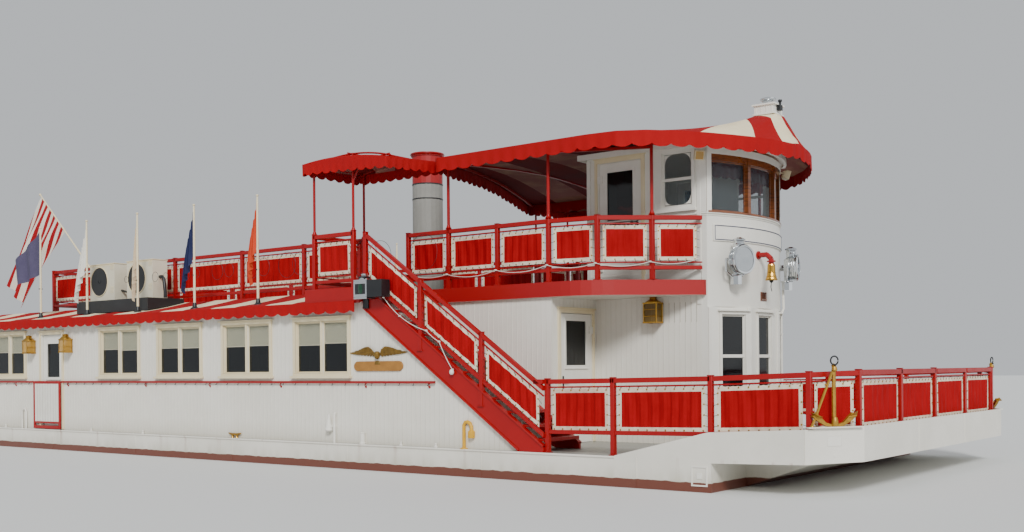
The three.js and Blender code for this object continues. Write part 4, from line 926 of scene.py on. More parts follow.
def banner(cloth, eyelets, laces, a, b, lift, kind, gap=0.085):
    """Pleated cloth between posts a and b; `lift` is the rail's top at each of them."""
    a, b = xyz(a[0], a[1]), xyz(b[0], b[1])
    length = (b - a).length
    run, off = (b - a) / length, xyz(-(b - a).y, (b - a).x, 0) / length
    s0, s1 = gap, length - gap
    d0, d1 = kind["cloth"]
    where = lambda s, d, push: a + run * s + off * push + up(lift[0] + (lift[1] - lift[0]) * s / length - d)
    inner = max(8, round((s1 - s0 - 2 * EDGE) / 0.0155))
    columns = [s0, s0 + EDGE / 2] + spread(s0 + EDGE, s1 - EDGE, inner) + [s1 - EDGE / 2, s1]
    depths = [d0, d0 + EDGE / 2] + spread(d0 + EDGE, d1 - EDGE, 8) + [d1 - EDGE / 2, d1]
    shift, lean = dice.uniform(0, 6), dice.uniform(-0.012, 0.012)
    grid = []
    for j, d in enumerate(depths):
        v = (d - d0) / (d1 - d0)
        row = []
        for i, s in enumerate(columns):
            u = (s - s0) / (s1 - s0)
            open_up = min(1, 7 * min(v, 1 - v)) * min(1, 9 * min(u, 1 - u)) if 1 < j < 10 else 0
            pleat = 0.011 * sin(2 * pi * s / 0.17 + shift + 1.4 * sin(1.7 * v + 4.1 * s + shift))
            pleat += 0.004 * sin(2 * pi * s / 0.061 + 2 * shift)
            belly = (0.012 + lean) * sin(pi * v) * sin(pi * u)
            lobe = 0.008 * abs(sin(pi * s / 0.07)) * ((j == len(depths) - 1) - (j == 0))
            row.append(cloth.mesh.verts.new(where(s, d + lobe, pleat * open_up + belly)))
        grid.append(row)
    for j, (low, high) in enumerate(zip(grid, grid[1:])):
        for i in range(len(columns) - 1):
            face = cloth.mesh.faces.new((low[i], low[i + 1], high[i + 1], high[i]))
            edge = j < 2 or j > len(depths) - 4 or i < 2 or i > len(columns) - 4
            face.material_index = 1 if edge else 0
    turn = atan2(run.y, run.x)
    count = max(3, round((s1 - s0) / 0.13))
    for s in spread(s0 + 0.03, s1 - 0.03, count):
        for d, pipe_at in ((d0 + 0.016, d0 - 0.03), (d1 - 0.016, d1 + 0.035)):
            eyelets.append((where(s, d, 0), turn))
            for face in (1, -1):
                laces += [where(s, d, face * 0.004), where(s + 0.02, pipe_at, face * 0.014)]
    for d in spread(d0 + 0.08, d1 - 0.08, 4):
        for s, to in ((s0 + 0.016, POST / 2), (s1 - 0.016, length - POST / 2)):
            eyelets.append((where(s, d, 0), turn))
            laces += [where(s, d, 0.003), where(to, d + 0.02, 0.003)]
    return (d1 - d0) * (s1 - s0)


# %% A whole rail
rail_area = {}


def rail(name, posts, bays, kind, stands_for, extra=None, body="boat"):
    """Posts are (x, y, foot, top); bays are (a, b, (top at a, top at b))."""
    bars, cloth, eyelets, laces, pipes = Work(), Work(), [], [], []
    for x, y, foot, top in posts:
        half = POST / 2
        bars.block(x - half, x + half, y - half, y + half, foot, top + 0.004)
        bars.plate([(x - half - 0.006, y - half - 0.006, top + 0.004),
            (x + half + 0.006, y - half - 0.006, top + 0.004), (x + half + 0.006, y + half + 0.006,
            top + 0.004), (x - half - 0.006, y + half + 0.006, top + 0.004)], (0, 0, 0.012))
        bars.block(x - half - 0.02, x + half + 0.02, y - half - 0.02, y + half + 0.02, foot, foot + 0.012)
    flat = 0
    for a, b, lift in bays:
        bars.beam(a, b, 0.07, [z - TOP_BAR for z in lift], lift)
        bars.beam(a, b, 0.05, [z - kind["foot"] for z in lift], [z - kind["foot"] + FOOT_BAR for z in lift])
        for depth in (kind["cloth"][0] - 0.032, kind["cloth"][1] + 0.035):
            pipes += [(*p, z - depth) for p, z in zip((a, b), lift)]
        flat += banner(cloth, eyelets, laces, a, b, lift, kind)
    if extra:
        extra(bars)
    settle(f"{name}_bars", bars, "red_marine_enamel", 0.006, body, [stands_for])
    rods(f"{name}_pipes", pipes, 0.013, "red_marine_enamel", body, 10)
    panels = settle(f"{name}_banners", cloth, ["pleated_banner_cloth", "cream_canvas_border"], body=body)
    eyelet = Work()
    eyelet.turned([(0.006, -0.007), (0.011, -0.006), (0.012, 0), (0.011, 0.006), (0.006, 0.007)], (0, 0, 0),
        (0, 1, 0), 8)
    set_fittings(f"{name}_eyelets", eyelet, eyelets, "lacquered_brass", body)
    rods(f"{name}_lacing", laces, 0.0032, "black_enamel", body, 4)
    rail_area[name] = round(flat, 2)


def level_rail(points, foot, top):
    """Posts and bays of a level rail through the points."""
    return ([(x, y, foot, top) for x, y in points], [(a, b, (top, top)) for a, b in zip(points, points[1:])])


# %% Rails of the upper deck
DECK_UP, RAIL_TOP, RAIL_Y = 3.04, 4.05, 2.64
AFT_POSTS = (-7.71, -5.38, -3.05, -0.87, 0.94, 2.54)
FORE_POSTS = ((3.63, 2.64), (4.56, 2.64), (5.62, 2.64), (6.66, 2.64), (7.49, 2.49), (8.15, 1.935))
TALL = ((4.56, 2.64), (6.66, 2.64), (8.15, 1.935))
for side, sign in SIDES:
    posts, bays = level_rail([(x, sign * RAIL_Y) for x in AFT_POSTS], DECK_UP, RAIL_TOP)
    rail(f"upper_rail_aft_{side}", posts, bays, UPPER_BAY, f"rail_upper_aft_{side}")
    posts, bays = level_rail([(x, sign * y) for x, y in FORE_POSTS], DECK_UP, RAIL_TOP)
    bays.append(((8.15, sign * 1.935), (8.74, sign * 1.402), (RAIL_TOP, RAIL_TOP)))

    def tall_posts(bars):
        for x, y in TALL:
            bars.pipe([(x, sign * y, RAIL_TOP), (x, sign * y, 5.1)], 0.026, 14)
            bars.turned([(0.05, 0), (0.05, 0.008), (0.034, 0.03), (0.03, 0.06)],
                (x, sign * y, RAIL_TOP + 0.016), count=14)

    rail(f"upper_rail_fore_{side}", posts, bays, UPPER_BAY, f"rail_upper_fore_{side}", tall_posts)
stern_y = [share * 2.5697 for share in (-1, -0.33, 0.33, 1)]
posts, bays = level_rail([(-7.71, y) for y in stern_y], DECK_UP, RAIL_TOP)
rail("upper_rail_stern", posts, bays, UPPER_BAY, "rail_upper_stern")
print("upper rails:", {k: v for k, v in rail_area.items()}, "square metres of banner")

# %% Landings
for side, sign in SIDES:
    corner = [(2.54, sign * 2.76), (2.54, sign * 3.85), (3.49, sign * 3.85)]
    posts, bays = level_rail(corner, 3.02, 4.0)

    def platform(bars):
        bars.block(2.5, 3.8, sign * 2.7, sign * 4.02, 2.80, 3.028)
        for y in spread(2.72, 3.98, 11)[:-1]:
            bars.block(2.49, 3.8, sign * (y + 0.004), sign * (y + 0.122), 3.024, 3.04)
        bars.block(2.48, 3.79, sign * 4.0, sign * 4.035, 2.78, 3.045)

    rail(f"landing_rail_{side}", posts, bays, UPPER_BAY, f"landing_{side}", platform)
    tubes = Work()
    for x, y, foot in ((2.54, 3.85, 4.01), (3.49, 3.85, 4.01), (2.54, 2.64, 4.06)):
        tubes.pipe([(x, sign * y, foot), (x, sign * y, hump_high(x) - 0.03)], 0.022, 12)
        tubes.turned([(0.045, 0), (0.045, 0.008), (0.03, 0.03), (0.026, 0.05)], (x, sign * y, foot), count=12)
    for y in (2.64, 3.85):
        tubes.pipe([(x, sign * y, hump_high(x) - 0.045) for x in spread(2.43, 4.36, 20)], 0.016, 8)
    for x in (2.54, 3.49, 4.3):
        tubes.pipe([(x, sign * y, hump_high(x) - 0.05) for y in spread(2.62, 3.97, 4)], 0.014, 8)
    hoop = ((3.49, 4.5), (3.5, 4.85), (3.62, 5.05), (3.85, 5.16), (4.2, 5.2), (4.34, 5.21))
    tubes.pipe([(x, sign * 3.85, z) for x, z in hoop], 0.015, 8)
    settle(f"landing_canopy_posts_{side}", tubes, "red_marine_enamel")
print("landings done")

# %% [markdown]
# ## Stairs
# Two plate stringers carry twelve open treads. The rail posts run down over the stringer's face, and
# the banners follow the slope as parallelograms.

# %% Stairs with their sloping rails
FOOT_X, STAIR_END, HEAD_X, STAIR_OUT, STAIR_IN, DECK = 7.53, 7.464, 3.8, 3.95, 2.95, 0.43
STAIR_DEEP, STAIR_RAIL = 0.36, 0.93
SLOPE = (DECK_UP - DECK) / (FOOT_X - HEAD_X)


def climb(x):
    return DECK + (FOOT_X - x) * SLOPE


for side, sign in SIDES:
    at = sign * (STAIR_OUT - 0.03)
    stops = (STAIR_END, 6.3, 5.06, 3.8403)
    posts = [(x, at, climb(x) - 0.2, climb(x) + STAIR_RAIL) for x in stops[1:3]]
    posts.append((stops[3], at, DECK_UP - 0.02, climb(stops[3]) + STAIR_RAIL))
    bays = [((u, at), (v, at), (climb(u) + STAIR_RAIL, climb(v) + STAIR_RAIL))
        for u, v in zip(stops, stops[1:])]

    def flight(bars):
        head = HEAD_X + 0.0003
        toe = FOOT_X - STAIR_DEEP / SLOPE
        for y in (STAIR_OUT - 0.03, STAIR_IN + 0.03):
            outline = [(STAIR_END, DECK), (STAIR_END, climb(STAIR_END) + 0.06), (head, climb(head) + 0.057),
                (head, climb(head) - STAIR_DEEP), (toe, DECK)]
            bars.plate([(x, sign * y - 0.024, z) for x, z in outline], (0, 0.048, 0))
            for start, lower, upper in ((STAIR_END, 0.03, 0.064), (toe, -STAIR_DEEP, 0.034 - STAIR_DEEP)):
                bars.plate([(start, sign * y - 0.045, climb(start) + lower),
                    (head, sign * y - 0.045, climb(head) + lower),
                    (head, sign * y - 0.045, climb(head) + upper),
                    (start, sign * y - 0.045, climb(start) + upper)], (0, 0.09, 0))
        for i in range(1, 13):
            x = FOOT_X - (FOOT_X - HEAD_X) * i / 13
            front = min(x + 0.26, STAIR_END)
            bars.block(x - 0.02, front, sign * (STAIR_IN + 0.05), sign * (STAIR_OUT - 0.05), climb(x) - 0.036,
                climb(x))
            bars.block(front - 0.025, front + 0.002, sign * (STAIR_IN + 0.05), sign * (STAIR_OUT - 0.05),
                climb(x) - 0.05, climb(x) + 0.004)
        bars.block(STAIR_END - 0.17, STAIR_END, at - 0.035, at + 0.035, 1.435, 1.505)

    rail(f"stair_rail_{side}", posts, bays, STAIR_BAY, f"stair_{side}", flight)
print("stairs done, slope", round(degrees(atan(SLOPE)), 1), "degrees")

# %% Rails around the bow
def seat(x):
    return DECK + max(0, x + 0.035 - 10.1) * 0.05 / 1.9


BOW_LINE = ((7.5, 3.87, 1.505), (8.635, 3.87, 1.52), (10.165, 3.87, 1.545), (11.5, 3.78, 1.59),
    (11.87, 3.07, 1.61))
for side, sign in SIDES:
    posts = [(x, sign * y, seat(x), z) for x, y, z in BOW_LINE]
    bays = [((a[0], sign * a[1]), (b[0], sign * b[1]), (a[2], b[2])) for a, b in zip(BOW_LINE, BOW_LINE[1:])]
    rail(f"bow_rail_{side}", posts, bays, MAIN_BAY, f"rail_bow_{side}")
posts = [(11.87, y, seat(11.87), 1.615) for y in (-1.5, 0.0)]
bays = [((11.87, -3.0347), (11.87, -1.5), (1.615, 1.615)), ((11.87, -1.5), (11.87, 0.0), (1.615, 1.615))]
rail("front_rail", posts, bays, MAIN_BAY, "rail_front")

# %% Gate leaves in the front rail
for leaf, hinge_y, y0, y1 in (("inner", 0.02, 0.063, 1.555), ("outer", 3.05, 3.007, 1.605)):
    def straps(bars):
        toward = 1 if y1 > y0 else -1
        for y in (y0, y1):
            bars.block(11.85, 11.89, y - 0.02, y + 0.02, 0.755, 1.615)
        for z in (0.775, 1.515):
            bars.turned([(0.012, 0), (0.012, 0.1)], (11.8226, hinge_y, z), count=12)
            bars.plate([(11.812, hinge_y, z + 0.01), (11.812, y0 + toward * 0.1, z + 0.01),
                (11.812, y0 + toward * 0.1, z + 0.05), (11.812, hinge_y, z + 0.05)], (0.008, 0, 0))
            bars.block(11.812, 11.86, y0 - 0.018, y0 + 0.018, z + 0.01, z + 0.05)

    rail(f"gate_leaf_{leaf}", [], [((11.87, y0), (11.87, y1), (1.615, 1.615))],
        {"cloth": (0.15, 0.74), "foot": 0.86}, f"bow_gate_{leaf}", straps, f"bow_gate_{leaf}")
print("rails in all:", len(rail_area), "with", round(sum(rail_area.values()), 1), "square metres of banner")

# %% [markdown]
# ## Cabin walls
# The walls are tongue-and-groove boards. Each joint has a small quirk bead that catches the light,
# so the beads are real: bare upright edges go into the pipe tree and come back as thin rods, half
# sunk in the wall. They stop at windows, doors and the rail.

# %% Quirk beads
WINDOWS = (2.73, 0.75, -1.24, -3.22, -7.47)
LOW, HIGH, CEILING, SIDE_Y = 1.61, 2.51, 2.8, 3.88


def bead_runs(x, stops, low, high):
    """Spans of height left on one joint after cutting out the openings."""
    spans = [(low, high)]
    for x0, x1, z0, z1 in stops:
        if x0 < x < x1:
            spans = [part for a, b in spans for part in ((a, min(b, z0)), (max(a, z1), b))
                if part[1] - part[0] > 0.03]
    return spans


def beads(name, wall, u0, u1, stops, top):
    """Beads along a wall given as (origin, direction along it, direction out of it)."""
    origin, along, out = [Vector(v) for v in wall]
    ends = []
    for i in range(ceil(u0 / BOARD), floor(u1 / BOARD) + 1):
        u = i * BOARD + 0.012
        for z0, z1 in bead_runs(u, stops, DECK, top(u)):
            ends += [origin + along * u + out * 0.0005 + up(z) for z in (z0 + 0.004, z1 - 0.004)]
    rods(name, ends, 0.0045, "white_beadboard_enamel")


side_stops = [(c - 0.74, c + 0.74, 1.52, 2.62) for c in WINDOWS]
side_stops += [(-6.24, -5.24, 0.43, 2.58), (-10, 6.2, 1.43, 1.49)]
for side, sign in SIDES:
    wall = long_wall(sign, SIDE_Y)
    beads(f"side_beads_{side}", wall, -9.6, 6.85, side_stops, lambda x: CEILING
        if x < 3.7 else DECK + (FOOT_X - 0.02 - x) * SLOPE - STAIR_DEEP)
    wall = long_wall(sign, 2.64)
    beads(f"inner_beads_{side}", wall, 3.7, 6.7, [], lambda x: CEILING)
    wall = ((6.7, 0, 0), (0, sign, 0), (1, 0, 0))
    beads(f"door_wall_beads_{side}", wall, 1.38, 2.62, [(1.42, 2.48, 0.43, 2.64)], lambda y: CEILING)
    wall = long_wall(sign, 1.35)
    beads(f"deckhouse_beads_{side}", wall, 6.72, 8.68, [(7.745, 8.005, 2.355, 2.74)], lambda x: CEILING)
wall = ((-9.6, 0, 0), (0, 1, 0), (-1, 0, 0))
beads("aft_beads", wall, -3.8, 3.8, [(s * 2.3 - 0.7, s * 2.3 + 0.7, 1.52, 2.6) for s in (-1, 1)],
    lambda y: CEILING)
print("beaded walls:", sum(1 for name in made if "beads" in name))

# %% [markdown]
# ## Windows
# Each side window is a double sash in a boxed frame that stands proud of the boards: head, jambs
# and a sill outside, liners through the wall, and a sash with two panes. Roller blinds hang
# behind the upper part of the glass. Members are placed along a wall, out of it and up, so one set of
# sizes serves every wall of the boat.

# %% Window joinery
def boxed_window(joinery, panes, wall, u0, u1, z0, z1, bars=(), deep=0.08, casing=0.055, proud=0.04):
    joinery.frame(wall, u0, u1, z0, z1, casing, 0.0, proud)
    joinery.on(wall, u0 - casing - 0.03, u1 + casing + 0.03, 0, proud + 0.035, z1 + casing,
        z1 + casing + 0.025)
    joinery.on(wall, u0 - casing - 0.03, u1 + casing + 0.03, 0, proud + 0.05, z0 - casing - 0.03,
        z0 - casing + 0.012)
    joinery.frame(wall, u0 + 0.014, u1 - 0.014, z0 + 0.014, z1 - 0.014, 0.014, -deep, 0.0)
    edges = [u0 + 0.014] + list(bars) + [u1 - 0.014]
    for bar in bars:
        joinery.on(wall, bar - 0.02, bar + 0.02, -deep + 0.006, 0.026, z0, z1)
    for left, right in zip(edges, edges[1:]):
        a = left + (0.02 if left in bars else 0)
        b = right - (0.02 if right in bars else 0)
        joinery.frame(wall, a + 0.018, b - 0.018, z0 + 0.032, z1 - 0.032, 0.018, -0.05, -0.018)
        panes.on(wall, a + 0.016, b - 0.016, -0.038, -0.032, z0 + 0.03, z1 - 0.03)
        yield a + 0.018, b - 0.018


for side, sign in SIDES:
    wall = long_wall(sign, SIDE_Y)
    joinery, dark, clear, blinds, rollers = works(5)
    for k, centre in enumerate(WINDOWS):
        panes = Work()
        for a, b in boxed_window(joinery, panes, wall, centre - 0.65, centre + 0.65, LOW, HIGH, (centre,)):
            hem = 2.10 + 0.03 * sin(3 * a)
            grid = []
            for z in spread(2.485, hem, 9):
                grid.append([blinds.mesh.verts.new((x, sign * (SIDE_Y - 0.052 - 0.003 * sin(5 * x + 9 * z)),
                    z)) for x in spread(a, b, 13)])
            for low, high in zip(grid, grid[1:]):
                blinds.face_up([blinds.mesh.faces.new((low[i], low[i + 1], high[i + 1], high[i]))
                    for i in range(12)])
            clear.on(wall, a - 0.002, b + 0.002, -0.038, -0.032, hem - 0.01, HIGH - 0.03)
            # Below the blind the pane is the near-black glass, painted shade for the dark cabin behind it.
            dark.on(wall, a - 0.002, b + 0.002, -0.038, -0.032, LOW + 0.03, hem - 0.01)
            rollers.pipe([(a, sign * (SIDE_Y - 0.054), hem), (b, sign * (SIDE_Y - 0.054), hem)], 0.008, 8)
            rollers.pipe([(a, sign * (SIDE_Y - 0.07), 2.48), (b, sign * (SIDE_Y - 0.07), 2.48)], 0.018, 10)
        panes.mesh.free()
    settle(f"window_joinery_{side}", joinery, "cream_trim_enamel", bevel=0.005)
    settle(f"window_panes_low_{side}", dark, "dark_window_glass")
    settle(f"window_panes_high_{side}", clear, "clear_window_glass")
    settle(f"blind_rollers_{side}", rollers, "cream_trim_enamel")
    shade = settle(f"roller_blinds_{side}", blinds, "roller_blind_cloth")
wall = ((-9.6, 0, 0), (0, 1, 0), (-1, 0, 0))
joinery, panes = works(2)
for s in (-1, 1):
    list(boxed_window(joinery, panes, wall, s * 2.3 - 0.6, s * 2.3 + 0.6, LOW, HIGH, (s * 2.3,)))
settle("aft_window_joinery", joinery, "cream_trim_enamel", bevel=0.005)
settle("aft_window_panes", panes, "dark_window_glass")

# %% [markdown]
# ## Doors
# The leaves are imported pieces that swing, so their glass, trim and handles ride on the same bodies.

# %% Door casings, glass and handles
def door_trim(name, wall, leaf_wall, body, u0, u1, low, high, glass):
    casing = Work()
    # The jamb on the hinge side stands back from the knuckles.
    picture = [(u0 - 0.08, u0 - 0.032, low, high + 0.07), (u1 + 0.004, u1 + 0.07, low, high + 0.07),
        (u0 - 0.032, u1 + 0.004, high + 0.006, high + 0.07)]
    for a, b, z0, z1 in picture:
        casing.on(wall, a, b, -0.001, 0.026, z0, z1)
    casing.on(wall, u0 - 0.09, u1 + 0.09, -0.001, 0.05, high + 0.07, high + 0.095)
    settle(f"{name}_casing", casing, "cream_trim_enamel", bevel=0.004)
    trim, pane, fit = works(3)
    g0, g1, z0, z1 = glass
    trim.frame(leaf_wall, g0 + 0.012, g1 - 0.012, z0 + 0.012, z1 - 0.012, 0.045, -0.004, 0.008)
    trim.on(leaf_wall, g0 - 0.03, g1 + 0.03, 0.0, 0.02, z0 - 0.05, z0 - 0.03)
    settle(f"{name}_beading", trim, "white_trim_enamel", 0.003, body)
    pane.on(leaf_wall, g0 + 0.004, g1 - 0.004, -0.024, -0.018, z0 + 0.004, z1 - 0.004)
    settle(f"{name}_pane", pane, "dark_window_glass", body=body)
    origin, along, out = [Vector(v) for v in leaf_wall]
    u = u1 - 0.075
    spot = origin + along * u + up(low + 1.0)
    fit.on(leaf_wall, u - 0.02, u + 0.02, 0, 0.006, low + 0.9, low + 1.1)
    fit.pipe([spot, spot + out * 0.03, spot + out * 0.035 - along * 0.036, spot + out * 0.035 - along * 0.12],
        0.009, 10)
    settle(f"{name}_handle", fit, "black_enamel", body=body)


for side, sign in SIDES:
    side_wall = long_wall(sign, SIDE_Y)
    door_trim(f"side_door_{side}", side_wall, long_wall(sign, 3.84), f"side_door_{side}", -6.14, -5.34, 0.438,
        2.48, (-5.99, -5.49, 1.55, 2.3))
    front_wall = ((6.7, 0, 0), (0, sign, 0), (1, 0, 0))
    door_trim(f"front_door_{side}", front_wall, front_wall, f"front_door_{side}", 1.5, 2.4, 0.438, 2.56,
        (1.65, 2.25, 1.7, 2.45))
    pilot_wall = long_wall(sign, 1.35)
    door_trim(f"pilot_door_{side}", pilot_wall, pilot_wall, f"pilot_door_{side}", 6.79, 7.61, 3.06, 5.08,
        (6.94, 7.46, 3.9, 4.93))
print("doors trimmed")

# %% Boarding gates: a red frame with white slats, hung on the wall
slatted_gate, given = start_tree("slatted_gate", Wide="Float", Thick="Float", Tall="Float")
tree = slatted_gate
size = add(tree, "ShaderNodeCombineXYZ", {0: given["Wide"], 1: given["Thick"], 2: given["Tall"]})
slat = add(tree, "GeometryNodeMeshCube", {"Size": size}).outputs["Mesh"]
spots = add(tree, "GeometryNodeMeshToPoints", {"Mesh": given["Geometry"]})
slats = add(tree, "GeometryNodeInstanceOnPoints", {"Points": spots, "Instance": slat})
end_tree(tree, slats, given)
for side, sign in SIDES:
    bars = Work()
    y0, y1 = sign * (SIDE_Y + 0.032), sign * (SIDE_Y + 0.062)
    for a, b, c, d in ((-6.4, -6.345, 0.445, 1.48), (-5.405, -5.35, 0.445, 1.48),
            (-6.345, -5.405, 0.445, 0.51), (-6.345, -5.405, 1.42, 1.48), (-6.345, -5.405, 0.56, 0.6)):
        bars.block(a, b, y0, y1, c, d)
    for z in (0.595, 1.21):
        bars.turned([(0.012, 0), (0.012, 0.12)], (-6.415, sign * 3.8924, z), count=12)
        bars.block(-6.415, -6.34, sign * 3.892, sign * 3.922, z, z + 0.12)
    settle(f"gate_frame_{side}", bars, "red_marine_enamel", 0.004, f"side_gate_{side}", [f"side_gate_{side}"])
    spots = [(x, sign * (SIDE_Y + 0.047), 1.01) for x in spread(-6.295, -5.455, 9)]
    grow(f"gate_slats_{side}", slatted_gate, spots, [], "white_trim_enamel", f"side_gate_{side}",
        smooth=False, Wide=0.088, Thick=0.018, Tall=0.83)
print("gates slatted")

# %% [markdown]
# ## Small fittings of the cabin's side
# The red hand rail stands on brackets two metres apart and carries small hooks for fenders. Brass
# lanterns light the boarding door. The spread wings over a blank board are a common carved
# ornament: each feather is a thin leaf of its own, lapped like tiles.

# %% Hand-rail brackets and hooks
for side, sign in SIDES:
    bracket = Work()
    bracket.pipe([(0, 0.0, -0.02), (0, 0.02, -0.03), (0, 0.034, -0.055), (0, 0.008, -0.085)], 0.009, 8)
    bracket.turned([(0.022, -0.004), (0.022, 0.004), (0.012, 0.008)], (0, 0, -0.08), (0, 1, 0), 10)
    spots = [((x, sign * SIDE_Y, 1.46), 0 if sign > 0 else pi) for x in (-9.2, -7.2, -5.1, -2.33, -0.31, 1.68,
        3.79, 5.2)]
    set_fittings(f"handrail_brackets_{side}", bracket, spots, "red_marine_enamel")
    hook = Work()
    hook.pipe([(0, 0.035, -0.018), (0, 0.036, -0.04), (0, 0.05, -0.055), (0, 0.062, -0.045)], 0.006, 6)
    spots = [((x, sign * SIDE_Y, 1.46), 0 if sign > 0 else pi) for x in spread(-9.4, 5.2, 48)
        if not -6.6 < x < -5.2]
    set_fittings(f"fender_hooks_{side}", hook, spots, "black_enamel")
print("brackets and hooks set")


# %% Brass lanterns
def lantern(case, glass, x, y, out, z, wide=0.2, deep=0.2, tall=0.27):
    """A ship's lantern on a wall: four corner rods, two trays, a hipped cap and a ring on top."""
    y0, y1 = y, y + out * (deep + 0.02)
    mid = (y0 + y1) / 2
    case.block(x - wide / 2, x + wide / 2, y0, y1, z, z + 0.03)
    case.block(x - wide / 2, x + wide / 2, y0, y1, z + tall, z + tall + 0.025)
    for a in (-1, 1):
        for b in (y0 + out * 0.012, y1 - out * 0.012):
            case.pipe([(x + a * (wide / 2 - 0.012), b, z + 0.02), (x + a * (wide / 2 - 0.012), b,
                z + tall + 0.01)], 0.009, 8)
        case.pipe([(x + a * wide / 2, y1, z + tall * 0.5), (x + a * wide / 2, y0, z + tall * 0.5)], 0.005, 6)
    case.turned([(wide * 0.62, 0), (wide * 0.6, 0.012), (wide * 0.34, 0.055), (wide * 0.3, 0.075),
        (wide * 0.36, 0.08), (wide * 0.3, 0.1), (0.01, 0.115)], (x, mid, z + tall + 0.022), count=20)
    case.turned([(0.035, 0), (0.05, 0.02), (0.05, 0.1), (0.02, 0.13)], (x, mid, z + 0.03), count=14)
    glass.block(x - wide / 2 + 0.014, x + wide / 2 - 0.014, y0 + out * 0.016, y1 - out * 0.016, z + 0.03,
        z + tall)


for side, sign in SIDES:
    case, glass = works(2)
    for x in (-6.47, -5.02):
        lantern(case, glass, x, sign * (SIDE_Y + 0.002), sign, 2.08)
    x0, x1, y0, y1 = 7.765, 7.985, sign * 1.352, sign * 1.553
    for x in (x0 - 0.006, x1 + 0.006):
        for y in (y0 + sign * 0.012, y1 + sign * 0.004):
            case.pipe([(x, y, 2.375), (x, y, 2.71)], 0.011, 8)
    for z in (2.377, 2.69):
        case.block(x0 - 0.02, x1 + 0.02, y0, y1 + sign * 0.018, z, z + 0.022)
    for z in (2.49, 2.6):
        case.pipe([(x0 - 0.008, y0, z), (x0 - 0.008, y1 + sign * 0.006, z),
            (x1 + 0.008, y1 + sign * 0.006, z), (x1 + 0.008, y0, z)], 0.006, 6)
    case.turned([(0.13, 0), (0.125, 0.012), (0.06, 0.05), (0.055, 0.07), (0.065, 0.075), (0.05, 0.095),
        (0.01, 0.11)], (7.875, sign * 1.455, 2.712), count=20)
    settle(f"lantern_cases_{side}", case, "lacquered_brass")
    settle(f"lantern_glass_{side}", glass, "lantern_glass")
print("lanterns hung")


# %% Spread wings over a blank board
def feather(work, root, tip, wide, lift, out):
    """A narrow leaf from root to tip, domed outwards, with a pointed end."""
    root, tip = Vector(root), Vector(tip)
    run = tip - root
    across = xyz(0, out).cross(run).normalized()
    rings = []
    for share, girth in ((0, 0.5), (0.2, 0.9), (0.55, 1.0), (0.85, 0.7), (1.0, 0.12)):
        centre = root + run * share + xyz(0, out * lift * sin(pi * min(1, share + 0.15)), 0)
        ring = [centre + across * wide / 2 * girth * cos(t) + xyz(0, out * 0.009 * girth * sin(t), 0)
            for t in (0, 0.9, 1.571, 2.24, pi, 4.1, 4.712, 5.3)]
        rings.append([work.mesh.verts.new(p) for p in ring])
    work.skin(rings)


for side, sign in SIDES:
    wings = Work()
    y = sign * (SIDE_Y + 0.014)
    middle, high = 4.08, 1.9
    for way in (-1, 1):
        for tier, (count, length, start, rise) in enumerate(((9, 0.36, 0.07, 0.0), (8, 0.24, 0.06, 0.03),
                (7, 0.13, 0.05, 0.055))):
            for i in range(count):
                share = i / (count - 1)
                x = middle + way * (start + 0.17 * share + 0.03 * tier)
                z = high + 0.025 + rise + 0.075 * sin(pi * (0.12 + 0.7 * share)) - 0.03 * share
                turn = radians(74 - 78 * share)
                reach = length * (0.42 + 0.6 * share)
                tip = (x + way * reach * cos(turn) * 1.15, y + sign * 0.008 * tier,
                    z - reach * sin(turn) * 0.5)
                feather(wings, (x, y + sign * (0.008 + 0.012 * tier), z), tip, 0.05 - 0.008 * tier, 0.012,
                    sign)
    wings.turned([(0.008, -0.075), (0.04, -0.05), (0.055, 0.0), (0.046, 0.04), (0.02, 0.06)],
        (middle, y + sign * 0.022, high + 0.01), (0, 0, 1), 16)
    for i in range(5):
        feather(wings, (middle + 0.012 * (i - 2), y + sign * 0.012, high - 0.09),
            (middle + 0.034 * (i - 2), y + sign * 0.006, high - 0.17), 0.034, 0.008, sign)
    settle(f"carved_wings_{side}", wings, "carved_bronze")
    board = Work()
    outline = []
    for centre, start in ((4.55, -90), (3.62, 90)):
        for i in range(13):
            turn = radians(start + 15 * i)
            outline.append((centre + 0.09 * cos(turn), sign * (SIDE_Y + 0.001), 1.725 + 0.082 * sin(turn)))
    board.plate(outline, (0, sign * 0.028, 0))
    settle(f"blank_board_{side}", board, "golden_oak", bevel=0.006)
print("ornaments carved")

